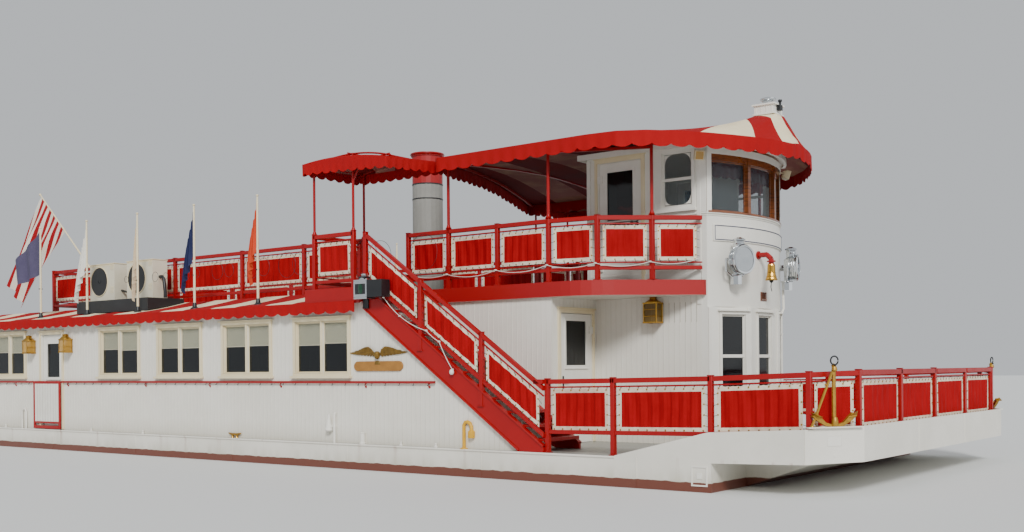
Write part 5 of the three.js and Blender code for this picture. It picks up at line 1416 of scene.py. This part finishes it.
# %% Cleats, vents and pipes along the deck edge
for side, sign in SIDES:
    fit, vents, yellow = works(3)
    y = sign * (SIDE_Y + 0.035)
    for x in (0.43, -8.6):
        fit.pipe([(x - 0.17, y, 0.52), (x - 0.08, y, 0.5), (x + 0.08, y, 0.5), (x + 0.17, y, 0.52)],
            [0.012, 0.022, 0.022, 0.012], 10)
        for way in (-0.06, 0.06):
            fit.turned([(0.03, 0), (0.02, 0.02), (0.018, 0.08)], (x + way, y, 0.43), count=12)
    settle(f"horn_cleats_{side}", fit, "lacquered_brass")
    x = 2.97
    vents.pipe([(x + 0.09, y, 0.43), (x + 0.09, y, 0.9), (x + 0.09, y - sign * 0.02, 0.94)], 0.024, 12)
    vents.turned([(0.05, 0), (0.075, 0.02), (0.055, 0.12), (0.03, 0.24), (0.012, 0.3)],
        (x - 0.03, y + sign * 0.01, 0.62), count=16)
    vents.block(x - 0.05, x + 0.1, sign * SIDE_Y, y, 0.7, 0.74)
    vents.turned([(0.055, 0), (0.055, 0.02), (0.042, 0.03), (0.042, 0.17), (0.05, 0.18), (0.02, 0.2)],
        (3.73, y, 0.43), count=16)
    for x in (4.6, 5.35, -7.6, -8.2, -4.2, -2.4):
        vents.turned([(0.03, 0), (0.03, 0.02), (0.018, 0.035), (0.024, 0.06), (0.01, 0.07)], (x, y, 0.43),
            count=12)
    vents.pipe([(-6.9, y, 0.43), (-6.9, y, 0.8), (-6.85, y, 0.86), (-6.79, y, 0.86), (-6.74, y, 0.8),
        (-6.74, y, 0.43)], 0.02, 12)
    settle(f"vents_and_bitts_{side}", vents, "white_trim_enamel")
    yellow.pipe([(5.93 + dx, y, z) for dx, z in ((0, 0.43), (0, 0.8), (0.03, 0.84), (0.07, 0.85),
        (0.12, 0.83), (0.15, 0.78), (0.15, 0.62))], 0.028, 14)
    yellow.turned([(0.05, 0), (0.055, 0.01), (0.055, 0.1), (0.04, 0.12)], (6.08, y, 0.6), count=16)
    yellow.turned([(0.06, 0), (0.06, 0.012), (0.03, 0.02)], (5.93, y, 0.43), count=16)
    settle(f"shore_connection_{side}", yellow, "yellow_safety_enamel")
print("deck-edge fittings set")

# %% [markdown]
# ## Wheelhouse tower
# The tower's front is a flat arc in plan, so everything on it follows one function: a place on the
# arc from its distance off the middle, and a distance out of the surface. Mouldings run along it
# through the pipe tree, glass and the blank name board are bent to it, and the wheelhouse has
# varnished sashes with a short scalloped curtain inside.

# %% The tower's round front
TOWER_HALF, TOWER_NOSE, TOWER_SHOULDER = 1.35, 9.15, 8.80
ARC_RISE = TOWER_NOSE - TOWER_SHOULDER
ARC_R = (TOWER_HALF ** 2 + ARC_RISE ** 2) / (2 * ARC_RISE)
ARC_X = TOWER_NOSE - ARC_R


def on_front(y, out=0.0, z=0.0):
    """A point `out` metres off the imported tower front, which is twelve flats of the arc."""
    end = asin(TOWER_HALF / ARC_R)
    turn = max(-end, min(end, asin(max(-0.999, min(0.999, y / ARC_R)))))
    step = 2 * end / 12
    k = min(11, int((turn + end) / step))
    a, b = -end + k * step, -end + (k + 1) * step
    p, q = (xyz(ARC_X + ARC_R * cos(t), ARC_R * sin(t), 0) for t in (a, b))
    share = (y - p.y) / (q.y - p.y)
    spot = p + (q - p) * share
    off = xyz((q - p).y, -(q - p).x, 0).normalized()
    return spot + off * out + up(z)


def around_front(out, z, back=8.70):
    """The line around the front from the starboard wall to the port wall."""
    sides = [xyz(back, -TOWER_HALF - out, z)]
    front = [on_front(y, out, z) for y in spread(-TOWER_HALF, TOWER_HALF, 49)]
    return sides + front + [xyz(back, TOWER_HALF + out, z)]


def moulding(name, lines, radius):
    verts = [p for path in lines for p in path]
    edges, start = [], 0
    for path in lines:
        edges += [(start + i, start + i + 1) for i in range(len(path) - 1)]
        start += len(path)
    grow(name, pipes_on_edges, verts, edges, "white_trim_enamel", Radius=radius, Sides=10)


moulding("tower_mouldings", [around_front(0.008, 4.095, 6.56), around_front(0.008, 5.135)], 0.015)
moulding("tower_small_mouldings", [around_front(0.004, 4.06, 6.56)], 0.007)
print("arc radius", round(ARC_R, 3))

# %% Bent plates: wheelhouse glass and the blank name board
def bent_plate(work, y0, y1, z0, z1, out, thick, steps=16):
    rings = []
    for y in spread(y0, y1, steps):
        rings.append([work.mesh.verts.new(on_front(y, o, z)) for o,
            z in ((out, z0), (out + thick, z0), (out + thick, z1), (out, z1))])
    work.skin(rings)


sashes, glass, board = works(3)
MULLIONS = (-1.31, -0.48, 0.48, 1.31)
for left, right in zip(MULLIONS, MULLIONS[1:]):
    a, b = left + 0.035, right - 0.035
    bent_plate(glass, a, b, 4.14, 4.93, -0.075, 0.006)
    bent_plate(sashes, a, b, 4.14, 4.16, -0.078, 0.028)
    bent_plate(sashes, a, b, 4.912, 4.93, -0.078, 0.028)
    for y in (a + 0.001, b - 0.019):
        bent_plate(sashes, y, y + 0.018, 4.15, 4.92, -0.078, 0.028, 3)
for y in MULLIONS[1:3]:
    bent_plate(sashes, y - 0.035, y + 0.035, 4.112, 5.1, 0.001, 0.012, 3)
bent_plate(sashes, -1.33, 1.33, 4.104, 4.134, 0.001, 0.026, 40)
settle("wheelhouse_sashes", sashes, "varnished_oak", bevel=0.004)
settle("wheelhouse_glass", glass, "wheelhouse_glass")
bent_plate(board, -1.25, 1.25, 3.655, 3.925, 0.002, 0.016, 40)
settle("blank_name_board", board, "white_trim_enamel", bevel=0.004)
lintel = Work()
bent_plate(lintel, -1.33, 1.33, 5.03, 5.13, 0.0135, 0.008, 40)
settle("wheelhouse_lintel", lintel, "white_trim_enamel", bevel=0.003)
border = [on_front(y, 0.02, 3.9) for y in spread(-1.22, 1.22, 41)]
border += [on_front(y, 0.02, 3.68) for y in spread(1.22, -1.22, 41)]
grow("name_board_border", pipes_on_edges, border, [(i, (i + 1) % len(border)) for i in range(len(border))],
    "navy_bunting", Radius=0.007, Sides=6, slot="black_metal")
curtain = [on_front(y, -0.10, 4.94) for y in spread(-1.2, 1.2, 41)]
hang_valance("wheelhouse_curtain", curtain, 0.22, paint="scalloped_curtain_cloth", pitch=0.19, scallop=0.05,
    puff=0.012)
print("wheelhouse glazed")

# %% Side sashes of the wheelhouse and the bay's windows
for side, sign in SIDES:
    wall = long_wall(sign, 1.35)
    trim, panes, shade = works(3)
    list(boxed_window(trim, panes, wall, 8.0, 8.55, 4.23, 5.12, (), deep=0.06, casing=0.05, proud=0.02))
    trim.on(wall, 8.01, 8.54, -0.05, -0.012, 4.655, 4.7)
    for u, du in ((8.044, 1), (8.506, -1)):
        for z, dz in ((4.274, 1), (5.076, -1)):
            corner = [(u, sign * 1.335, z)] + [(u + du * (0.13 - 0.13 * sin(t)), sign * 1.335,
                z + dz * (0.13 - 0.13 * cos(t))) for t in spread(0, pi / 2, 9)]
            trim.plate(corner, (0, -sign * 0.02, 0))
    settle(f"wheelhouse_side_sash_{side}", trim, "white_trim_enamel", bevel=0.003)
    settle(f"wheelhouse_side_pane_{side}", panes, "wheelhouse_glass")
    boards = Work()
    for u, wide in ((6.585, 0.07), (7.81, 0.1), (8.665, 0.07)):
        boards.on(wall, u - wide / 2, u + wide / 2, 0.0, 0.018, 3.05 if u < 8.5 else 2.66, 5.15)
    boards.on(wall, 8.69, 8.798, 0.0, 0.014, 4.11, 5.15)
    bent_plate(boards, sign * 1.352, sign * 1.27, 4.11, 5.15, 0.0005, 0.013, 3)
    boards.on(wall, 6.55, 8.70, 0.0, 0.022, 3.045, 3.19)
    settle(f"wheelhouse_corner_boards_{side}", boards, "white_trim_enamel", bevel=0.004)

bay_trim, bay_panes = works(2)
BAY_SHOULDER, BAY_NOSE = (8.81, 1.35), (9.13, 0.53)
flip = lambda p: (p[0], -p[1])
for a, b, share in ((flip(BAY_SHOULDER), flip(BAY_NOSE), 0.595), (flip(BAY_NOSE), BAY_NOSE, 0.5),
        (BAY_NOSE, BAY_SHOULDER, 0.405)):
    a, b = xyz(a[0], a[1]), xyz(b[0], b[1])
    along = (b - a).normalized()
    out = xyz(along.y, -along.x)
    wall = (a + (b - a) * share, along, out)
    list(boxed_window(bay_trim, bay_panes, wall, -0.25, 0.25, 1.15, 2.5, (), deep=0.06, casing=0.05,
        proud=0.022))
    bay_trim.on(wall, -0.24, 0.24, -0.05, -0.008, 1.81, 1.86)
    length = (b - a).length
    for u in (-length * share + 0.03, length * (1 - share) - 0.03):
        bay_trim.on(wall, u - 0.03, u + 0.03, 0, 0.02, 0.44, 2.61)
settle("bay_sashes", bay_trim, "white_trim_enamel", bevel=0.003)
settle("bay_panes", bay_panes, "dark_window_glass")
print("side sashes and bay done")

# %% Floodlights, louvre and conduit
floods, lens, conduit = works(3)
for way in (-1, 1):
    spot = on_front(1.2, 0.11, 5.0) if way > 0 else xyz(8.72, -1.45, 5.0)
    floods.turned([(0.07, -0.06), (0.105, -0.02), (0.11, 0.05), (0.1, 0.055)], spot,
        (0.75, way * 0.75, -0.35), 4)
    floods.pipe([spot, spot + xyz(-0.05, -way * 0.06, 0.03), spot + xyz(-0.1, -way * 0.12, 0.05)], 0.014, 8)
    lens.turned([(0.088, 0.05), (0.088, 0.06)], spot, (0.75, way * 0.75, -0.35), 4)
settle("floodlights", floods, "cream_trim_enamel", bevel=0.006)
settle("floodlight_lenses", lens, "lantern_glass")
louvre = [(tuple(on_front(-0.06, 0.006, z)), pi / 2) for z in spread(2.757, 2.865, 7)]
blade = Work()
blade.plate([(-0.09, 0, 0), (0.09, 0, 0), (0.09, -0.02, 0.012), (-0.09, -0.02, 0.012)], (0, 0, 0.003))
set_fittings("louvre_blades", blade, louvre, "varnished_oak")
frame_plate = Work()
bent_plate(frame_plate, -0.17, 0.05, 2.735, 2.885, 0.001, 0.004, 3)
settle("louvre_plate", frame_plate, "varnished_oak", bevel=0.001)
path = [on_front(0.95, 0.05, 3.02), on_front(0.95, 0.06, 2.66), xyz(9.01, 0.93, 2.55), xyz(9.01, 0.93, 0.44)]
conduit.pipe(path, 0.022, 10)
for z in (2.2, 1.4, 0.7):
    conduit.block(8.95, 9.03, 0.9, 0.96, z, z + 0.03)
settle("tower_conduit", conduit, "white_trim_enamel", bevel=0.002)
print("tower fittings done")

# %% [markdown]
# ## Lights, bell, funnel and deck gear
# These are turned and bent metal parts, so most are profiles spun about an axis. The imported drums
# and bell give the body; rims, ribs, lenses and screws are added over them.

# %% Searchlights and sidelights
LAMP_TURN = asin(TOWER_HALF / ARC_R) * 4 / 6
LAMP_Z = 3.35
for side, sign in SIDES:
    turn = sign * LAMP_TURN
    axis = xyz(cos(turn), sin(turn), 0)
    spot = lambda out, z: xyz(ARC_X, 0, z) + axis * (ARC_R + out)
    rim, lamp_glass = works(2)
    face = spot(0.3, LAMP_Z)
    rim.turned([(0.19, -0.002), (0.232, -0.012), (0.238, 0.004), (0.226, 0.018), (0.2, 0.014),
        (0.196, 0.004)], face, axis, 36)
    for h in (0.11, 0.15, 0.19):
        rim.turned([(0.17 + h * 0.25, h - 0.006), (0.185 + h * 0.25, h), (0.17 + h * 0.25, h + 0.006)],
            spot(0.06, LAMP_Z), axis, 32)
    across = xyz(-axis.y, axis.x)
    for way in (-1, 1):
        rim.pipe([spot(0.16, LAMP_Z) + across * way * 0.235, spot(0.16, LAMP_Z) + across * way * 0.256],
            0.028, 12)
    yoke = [(way * wide, drop) for way in (1, -1) for wide, drop in (((0.256, 0), (0.24, 0.18),
        (0.08, 0.26)))[::way]]
    rim.pipe([spot(0.16 - low / 9, LAMP_Z - low) + across * wide for wide, low in yoke], 0.013, 8)
    rim.turned([(0.1, 0), (0.104, 0.012), (0.1, 0.024)], spot(0.12, LAMP_Z - 0.25), (0, 0, 1), 20)
    rim.turned([(0.088, 0.0), (0.092, 0.01), (0.088, 0.02)], spot(0.19, LAMP_Z + 0.24), (0, 0, 1), 20)
    lamp_glass.turned([(0.196, 0.002), (0.19, 0.014), (0.15, 0.03), (0.09, 0.042), (0.03, 0.048),
        (0.002, 0.05)], face, axis, 36)
    settle(f"searchlight_rims_{side}", rim, "chromed_brass")
    settle(f"searchlight_lens_{side}", lamp_glass, "wheelhouse_glass", slot="chrome")
    skin = sign * 3.9503
    y0, y1 = skin + sign * 0.018, skin + sign * 0.21
    rims, lens = works(2)
    for z in (2.826, 3.11):
        rims.block(3.798, 4.094, y0, y1 + sign * 0.006, z, z + 0.034)
    for x in (3.798, 4.064):
        rims.block(x, x + 0.03, y1 - sign * 0.02, y1 + sign * 0.006, 2.85, 3.12)
        rims.block(x, x + 0.03, y0, y0 + sign * 0.03, 2.85, 3.12)
    rims.block(3.828, 4.066, y1 - sign * 0.004, y1 + sign * 0.004, 2.86, 2.905)
    rims.block(3.828, 4.066, y1 - sign * 0.004, y1 + sign * 0.004, 3.075, 3.11)
    rims.turned([(0.09, 0), (0.085, 0.015), (0.05, 0.045), (0.05, 0.07), (0.062, 0.078), (0.045, 0.1),
        (0.01, 0.108)], (3.95, skin + sign * 0.115, 3.144), count=20)
    lens.turned([(0.08, 0), (0.09, 0.02), (0.094, 0.08), (0.09, 0.14), (0.08, 0.165)],
        (3.947, y1 - sign * 0.078, 2.908), count=20)
    settle(f"sidelight_frame_{side}", rims, "chromed_brass", bevel=0.003)
    settle(f"sidelight_lens_{side}", lens, "green_signal_glass" if side == "starboard" else "red_signal_glass")
print("lights dressed")

# %% Bell, anchors and cupola
bell_turn = -asin(TOWER_HALF / ARC_R) / 6
bell_way = xyz(cos(bell_turn), sin(bell_turn), 0)
bell_at = xyz(ARC_X, 0, 3.33) + bell_way * (ARC_R + 0.24)
bands, clapper = works(2)
for r, h in ((0.06, -0.04), (0.07, -0.15), (0.084, -0.215), (0.098, -0.262)):
    bands.turned([(r - 0.006, h - 0.006), (r + 0.003, h - 0.003), (r + 0.003, h + 0.003),
        (r - 0.006, h + 0.006)], bell_at, count=28)
settle("bell_bands", bands, "lacquered_brass")
clapper.turned([(0.006, 0.05), (0.008, 0.0), (0.03, -0.02), (0.036, -0.045), (0.025, -0.07), (0.006, -0.085)],
    bell_at + up(-0.23), count=16)
clapper.pipe([bell_at + up(-0.3), bell_at + xyz(-0.01, 0, -0.38), bell_at + xyz(0.005, 0.004, -0.45)], 0.007,
    6)
settle("bell_clapper", clapper, "black_enamel")
for side, sign in SIDES:
    run = xyz(0.5, sign * -0.73).normalized()
    out = xyz(0.73, sign * 0.5).normalized()
    mid = xyz(11.75, sign * 3.585) + out * 0.008
    gilt, ringbolt = works(2)
    for way in (-1, 1):
        tip = mid + run * way * 0.335 + up(1.05)
        inward = mid + run * way * 0.18 + up(1.02)
        gilt.plate([tip + up(0.035), tip + out * 0.07 - run * way * 0.07 - up(0.02), inward + out * 0.02,
            tip - out * 0.07 - run * way * 0.07 - up(0.02)], run * way * 0.012 + up(0.012))
        gilt.turned([(0.026, -0.02), (0.034, 0), (0.026, 0.02)], mid + run * -0.33 * (way > 0)
            + up(0.9 if way > 0 else 1.64), (0, 0, 1), 12)
    gilt.turned([(0.036, -0.03), (0.046, 0), (0.04, 0.05), (0.03, 0.09)], mid + up(0.93), count=14)
    gilt.turned([(0.03, -0.02), (0.038, 0), (0.03, 0.02)], mid + up(1.62), count=14)
    settle(f"anchor_flukes_{side}", gilt, "gold_bronze_paint", bevel=0.003)
    hoop = [mid + up(1.735) + run * 0.055 * cos(t) + up(0.055 * sin(t)) for t in spread(0, 2 * pi * 0.97, 20)]
    ringbolt.pipe(hoop, 0.01, 8)
    ringbolt.pipe([mid + up(1.68) - out * 0.03, mid + up(1.68) + out * 0.03], 0.012, 8)
    settle(f"anchor_ring_{side}", ringbolt, "black_enamel")
cap, dark = works(2)
cap.turned([(0.093, 0.005), (0.098, 0.012), (0.093, 0.02)], (9.23, 0, 5.95), count=24)
for h in (0.045, 0.06):
    cap.turned([(0.092, h), (0.096, h + 0.004), (0.092, h + 0.008)], (9.23, 0, 5.95), count=24)
cap.turned([(0.128, 0.083), (0.132, 0.098), (0.126, 0.114)], (9.23, 0, 5.95), count=24)
settle("chimney_bands", cap, "chromed_brass")
dark.block(9.405, 9.47, -0.06, 0.04, 5.84, 5.93)
dark.pipe([(9.44, 0, 5.93), (9.44, 0, 5.985)], 0.02, 10)
dark.turned([(0.03, 0), (0.034, 0.02), (0.03, 0.04)], (9.44, 0, 5.98), count=14)
settle("masthead_fitting", dark, "black_enamel", bevel=0.004)
skirt = Work()
skirt.block(9.04, 9.42, -0.19, 0.19, 5.775, 5.80)
for y in (-0.171, 0.171):
    for x in spread(9.09, 9.37, 4):
        skirt.block(x - 0.012, x + 0.012, y - 0.004, y + 0.004, 5.80, 5.93)
settle("cupola_flashing", skirt, "white_trim_enamel", bevel=0.003)
print("bell, anchors and cupola dressed")

# %% Funnel bands
bands = Work()
at = (1.74, 0, 0)
for z, grow_by in ((5.42, 0.008), (5.12, 0.006)):
    bands.turned([(0.308, z - 0.012), (0.31 + grow_by, z - 0.01), (0.31 + grow_by, z + 0.01),
        (0.308, z + 0.012)], at, count=40)
for i in range(12):
    t = 2 * pi * i / 12
    bands.turned([(0.014, 0), (0.014, 0.016)], (1.74 + 0.37 * cos(t), 0.37 * sin(t), 3.064), count=6)
settle("funnel_bands", bands, "black_enamel")
lip = Work()
lip.turned([(0.296, 6.0), (0.33, 6.0), (0.352, 6.03), (0.345, 6.052), (0.3, 6.05)], at, count=40)
settle("funnel_lip", lip, "red_marine_enamel")
print("funnel banded")

# %% Condensers
fan_guard, given = start_tree("fan_guard", Radius="Float", Wire="Float", Rings="Int")
tree = fan_guard
spot = add(tree, "GeometryNodeMeshToPoints", {"Mesh": given["Geometry"]})
hoops = add(tree, "GeometryNodeMeshLine", {"Count": given["Rings"], "Start Location": (0, 0, 0),
    "Offset": (1, 0, 0)}, mode="OFFSET")
share = (Value(tree, add(tree, "GeometryNodeInputIndex")) + 1.0) / given["Rings"]
hoop = add(tree, "GeometryNodeCurvePrimitiveCircle", {"Resolution": 40, "Radius": given["Radius"]})
home = add(tree, "GeometryNodeSetPosition", {"Geometry": hoops, "Position": (0, 0, 0)})
nest = add(tree, "GeometryNodeInstanceOnPoints", {"Points": home, "Instance": hoop, "Scale": share})
nest = add(tree, "GeometryNodeRealizeInstances", {"Geometry": nest})
wire = add(tree, "GeometryNodeCurvePrimitiveCircle", {"Resolution": 5, "Radius": given["Wire"]})
guard = add(tree, "GeometryNodeCurveToMesh", {"Curve": nest, "Profile Curve": wire})
both = add(tree, "GeometryNodeInstanceOnPoints", {"Points": spot, "Instance": guard,
    "Rotation": (pi / 2, 0, 0)})
end_tree(tree, both, given)
fans = [(x - 0.1, -3.388, 3.6) for x in (-4.6, -3.25)]
grow("condenser_guards", fan_guard, fans, [], "black_enamel", Radius=0.3, Wire=0.0035, Rings=9)
blades, casing, pipes = works(3)
for x, y, z in fans:
    # A solid black disc stands for the fan's dark blades and, as painted shade, for the shadowed recess behind them.
    blades.turned([(0.0, 0), (0.3, 0.001), (0.3, 0.005), (0.0, 0.006)], (x, -3.376, z), (0, -1, 0), 40)
    casing.pipe([(x + 0.312 * cos(t), -3.382, z + 0.312 * sin(t)) for t in spread(0, 2 * pi, 41)], 0.011, 8)
    casing.block(x - 0.34, x + 0.54, -3.378, -3.372, 3.93, 3.966)
    for dz in (0.25, -0.25):
        for k in range(5):
            casing.block(x + 0.4, x + 0.53, -3.382, -3.374, z + dz + 0.03 * k, z + dz + 0.03 * k + 0.012)
    casing.block(x - 0.36, x + 0.56, -3.39, -3.01, 3.965, 3.982)
    for dx in (-0.28, 0.46):
        pipes.block(x + dx - 0.03, x + dx + 0.03, -3.42, -2.98, 3.165, 3.185)
pipes.pipe([(x, -3.2, z) for x, z in ((-2.8, 3.62), (-2.73, 3.62), (-2.67, 3.57), (-2.63, 3.3),
    (-2.63, 3.18))], 0.035, 12)
pipes.pipe([(-4.15, -3.2, 3.4), (-3.95, -3.2, 3.36), (-3.7, -3.2, 3.4)], 0.022, 10)
settle("condenser_fans", blades, "black_enamel")
settle("condenser_trim", casing, "cream_trim_enamel", bevel=0.002, slot="grey_metal")
settle("condenser_pipes", pipes, "black_enamel", bevel=0.003)
print("condensers dressed")

# %% Bow plating: hatches, ledges and weld seams
for side, sign in SIDES:
    run = xyz(0.5, sign * -0.73).normalized()
    out = xyz(0.73, sign * 0.5).normalized()
    mid = xyz(11.75, sign * 3.585)
    wall = (mid, run, out)
    plates = Work()
    plates.frame(wall, -0.1, 0.1, 0.66, 0.78, 0.008, 0.0, 0.006)
    plates.on(wall, -0.1, 0.1, 0.0, 0.003, 0.66, 0.78)
    plates.turned([(0.02, 0), (0.02, 0.004), (0.008, 0.006)], mid + up(0.53), out, 12)
    plates.on(wall, -0.4, 0.4, -0.02, 0.05, 0.885, 0.9)
    side_wall = long_wall(sign, 3.95)
    plates.frame(side_wall, 9.93, 10.13, 0.1, 0.33, 0.02, -0.001, 0.012)
    plates.on(side_wall, 9.99, 10.07, 0.0, 0.01, 0.18, 0.26)
    settle(f"bow_hatches_{side}", plates, "white_wall_enamel", bevel=0.002)
seams = []
for side, sign in SIDES:
    for x in (9.05, 6.3, 3.4, 0.4, -2.6, -5.6, -8.4):
        seams += [xyz(x, sign * 3.951, 0.0), xyz(x, sign * 3.951, 0.43)]
for y in (-1.1, 1.1):
    seams += [xyz(12.0, y, 0.45), xyz(12.0, y, 0.89)]
rods("weld_seams", seams, 0.006, "weathered_hull_enamel")
edge = []
for side, sign in SIDES:
    edge += [xyz(-10.0, sign * 3.952, 0.415), xyz(8.7, sign * 3.952, 0.415)]
rods("rubbing_strake", edge, 0.018, "weathered_hull_enamel", sides=10)
print("bow plating done")

# %% [markdown]
# ## Stern wheels and machinery
# The wheels are timber boards bolted to iron spiders. Straps, bolts and hub bosses ride with the
# wheels, so they turn with them. The photograph doesn't show the stern, so this follows what small
# stern-wheelers have.

# %% Straps, bolts and hubs
WHEEL_X, WHEEL_Z = -11.7, 1.0
spokes = [(t, xyz(cos(t), 0, sin(t)), xyz(-sin(t), 0, cos(t))) for t in (2 * pi * i / 12 for i in range(12))]
for side, sign in SIDES:
    iron, bolt_spots = Work(), []
    for y in (0.43, 3.37):
        hub = xyz(WHEEL_X, sign * y, WHEEL_Z)
        iron.turned([(0.11, -0.07), (0.17, -0.06), (0.2, -0.026), (0.2, 0.026), (0.17, 0.06), (0.11, 0.07)],
            hub, (0, 1, 0), 28)
        for turn, radial, over in spokes:
            for r in (1.2, 1.4):
                bolt_spots.append((hub + radial * r - over * 0.064, 0, -turn))
                a = hub + radial * r - over * 0.068
                iron.plate([a + radial * u + xyz(0, v) for u, v in ((-0.03, -0.05), (0.03, -0.05),
                    (0.03, 0.05), (-0.03, 0.05))], over * 0.008)
    for y in (0.23, 3.57):
        for turn, radial, over in spokes:
            a = xyz(WHEEL_X, sign * y, WHEEL_Z) + radial * 1.15 - over * 0.046
            iron.plate([a + over * -0.02, a + over * 0.02, a + over * 0.02 + radial * 0.3,
                a + over * -0.02 + radial * 0.3], (0, -0.005 * sign, 0))
    settle(f"wheel_irons_{side}", iron, "black_enamel", 0.003, f"wheel_{side}")
    head = Work()
    head.turned([(0.02, -0.012), (0.02, 0.004), (0.012, 0.006)], (0, 0, -0.006), (0, 0, -1), 6)
    set_fittings(f"wheel_bolts_{side}", head, bolt_spots, "galvanised_tube", f"wheel_{side}")
caps = Work()
for y in (-3.8, 0.0, 3.8):
    for way in (-1, 1):
        caps.turned([(0.092, 0), (0.15, 0.0), (0.15, 0.02), (0.13, 0.03), (0.0915, 0.03)] if abs(y) < 1
            or way * y < 0 else [(0.0, 0), (0.15, 0.0), (0.15, 0.03), (0.12, 0.05), (0.0, 0.055)],
            (WHEEL_X, y + way * 0.101, WHEEL_Z), (0, way, 0), 28)
settle("wheel_bearing_caps", caps, "machinery_grey_paint", bevel=0.002)
flanges = Work()
for y in (-3.8, 0.0, 3.8):
    flanges.plate([(-12.0, y - 0.13, 1.2005), (-11.35, y - 0.13, 1.2005), (-9.61, y - 0.13, 0.951),
        (-9.61, y - 0.13, 0.972), (-11.35, y - 0.13, 1.222), (-12.0, y - 0.13, 1.222)], (0, 0.26, 0))
settle("wheel_frame_flanges", flanges, "red_marine_enamel", bevel=0.003)
heads = Work()
for x in spread(-8.95, -7.25, 5):
    heads.block(x - 0.14, x + 0.14, -0.42, 0.42, 1.728, 1.85)
    heads.turned([(0.06, 0), (0.06, 0.05), (0.03, 0.08)], (x, 0, 1.85), count=14)
for y in (-0.62, 0.62):
    heads.pipe([(-9.1, y, 1.45), (-7.1, y, 1.45)], 0.05, 14)
    for x in spread(-8.95, -7.25, 5):
        heads.pipe([(x, y, 1.45), (x, y * 0.85, 1.62), (x, y * 0.62, 1.76)], 0.035, 10)
    heads.block(-9.2, -7.0, y - 0.03, y + 0.03, 0.45, 0.53)
settle("engine_heads_and_pipes", heads, "machinery_grey_paint", bevel=0.006)
print("wheels and machinery dressed")

# %% [markdown]
# ## The lamp cords
# Two white cords are looped along the rails: one along the foot of the upper rail, and one from the
# sidelight down the stair, with a lamp ball at its end. Each is a limp length that sags between its
# ties, so its route is a chain of shallow curves.

# %% Lamp cords
def sagging(ties, slack):
    route = []
    for a, b in zip(ties, ties[1:]):
        a, b = Vector(a), Vector(b)
        for share in spread(0, 1, 9)[:-1]:
            route.append(a + (b - a) * share - up(4 * slack * share * (1 - share) * (b - a).length))
    return route + [Vector(ties[-1])]


def hang_cord(name, ties, slack, diameter=0.012):
    route = sagging(ties, slack)
    curve = bpy.data.curves.new(name, "CURVE")
    curve.dimensions = "3D"
    curve.bevel_depth = diameter / 2
    curve.bevel_resolution = 3
    curve.use_fill_caps = True
    strand = curve.splines.new("POLY")
    strand.points.add(len(route) - 1)
    for i, p in enumerate(route):
        strand.points[i].co = (*p, 1)
    strand.use_smooth = True
    curve.materials.append(finishes["braided_white_cord"])
    piece = show(name, curve)
    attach(piece, "boat")
    clip = Work()
    for x, y, z in ties:
        clip.turned([(0.012, -0.02), (0.016, 0), (0.012, 0.02)], (x, y, z), (1, 0, 0), 10)
    settle(f"{name}_clips", clip, "braided_white_cord")
    length = round(sum((b - a).length for a, b in zip(route, route[1:])), 2)
    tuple(ties[0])
    print(name, "is", length, "m long")


hang_cord("rail_lamp_cord", [(8.69, -1.47, 3.36), (8.15, -2.0, 3.32), (7.49, -2.56, 3.3), (6.66, -2.7, 3.31),
    (5.62, -2.7, 3.29), (4.56, -2.7, 3.28), (3.63, -2.698, 3.34)], 0.07)
hang_cord("stair_lamp_cord", [(4.31, -3.99, 2.846), (4.645, -3.968, 2.53), (5.21, -3.968, 2.28),
    (5.48, -3.968, 2.1), (5.75, -3.968, 1.66)], 0.05)
ball = Work()
ball.turned([(0.012, 0.05), (0.02, 0.045), (0.032, 0.03), (0.038, 0.008), (0.034, -0.016), (0.018, -0.034),
    (0.002, -0.038)], (5.755, -3.99, 1.615), count=18)
settle("lamp_ball", ball, "white_trim_enamel")
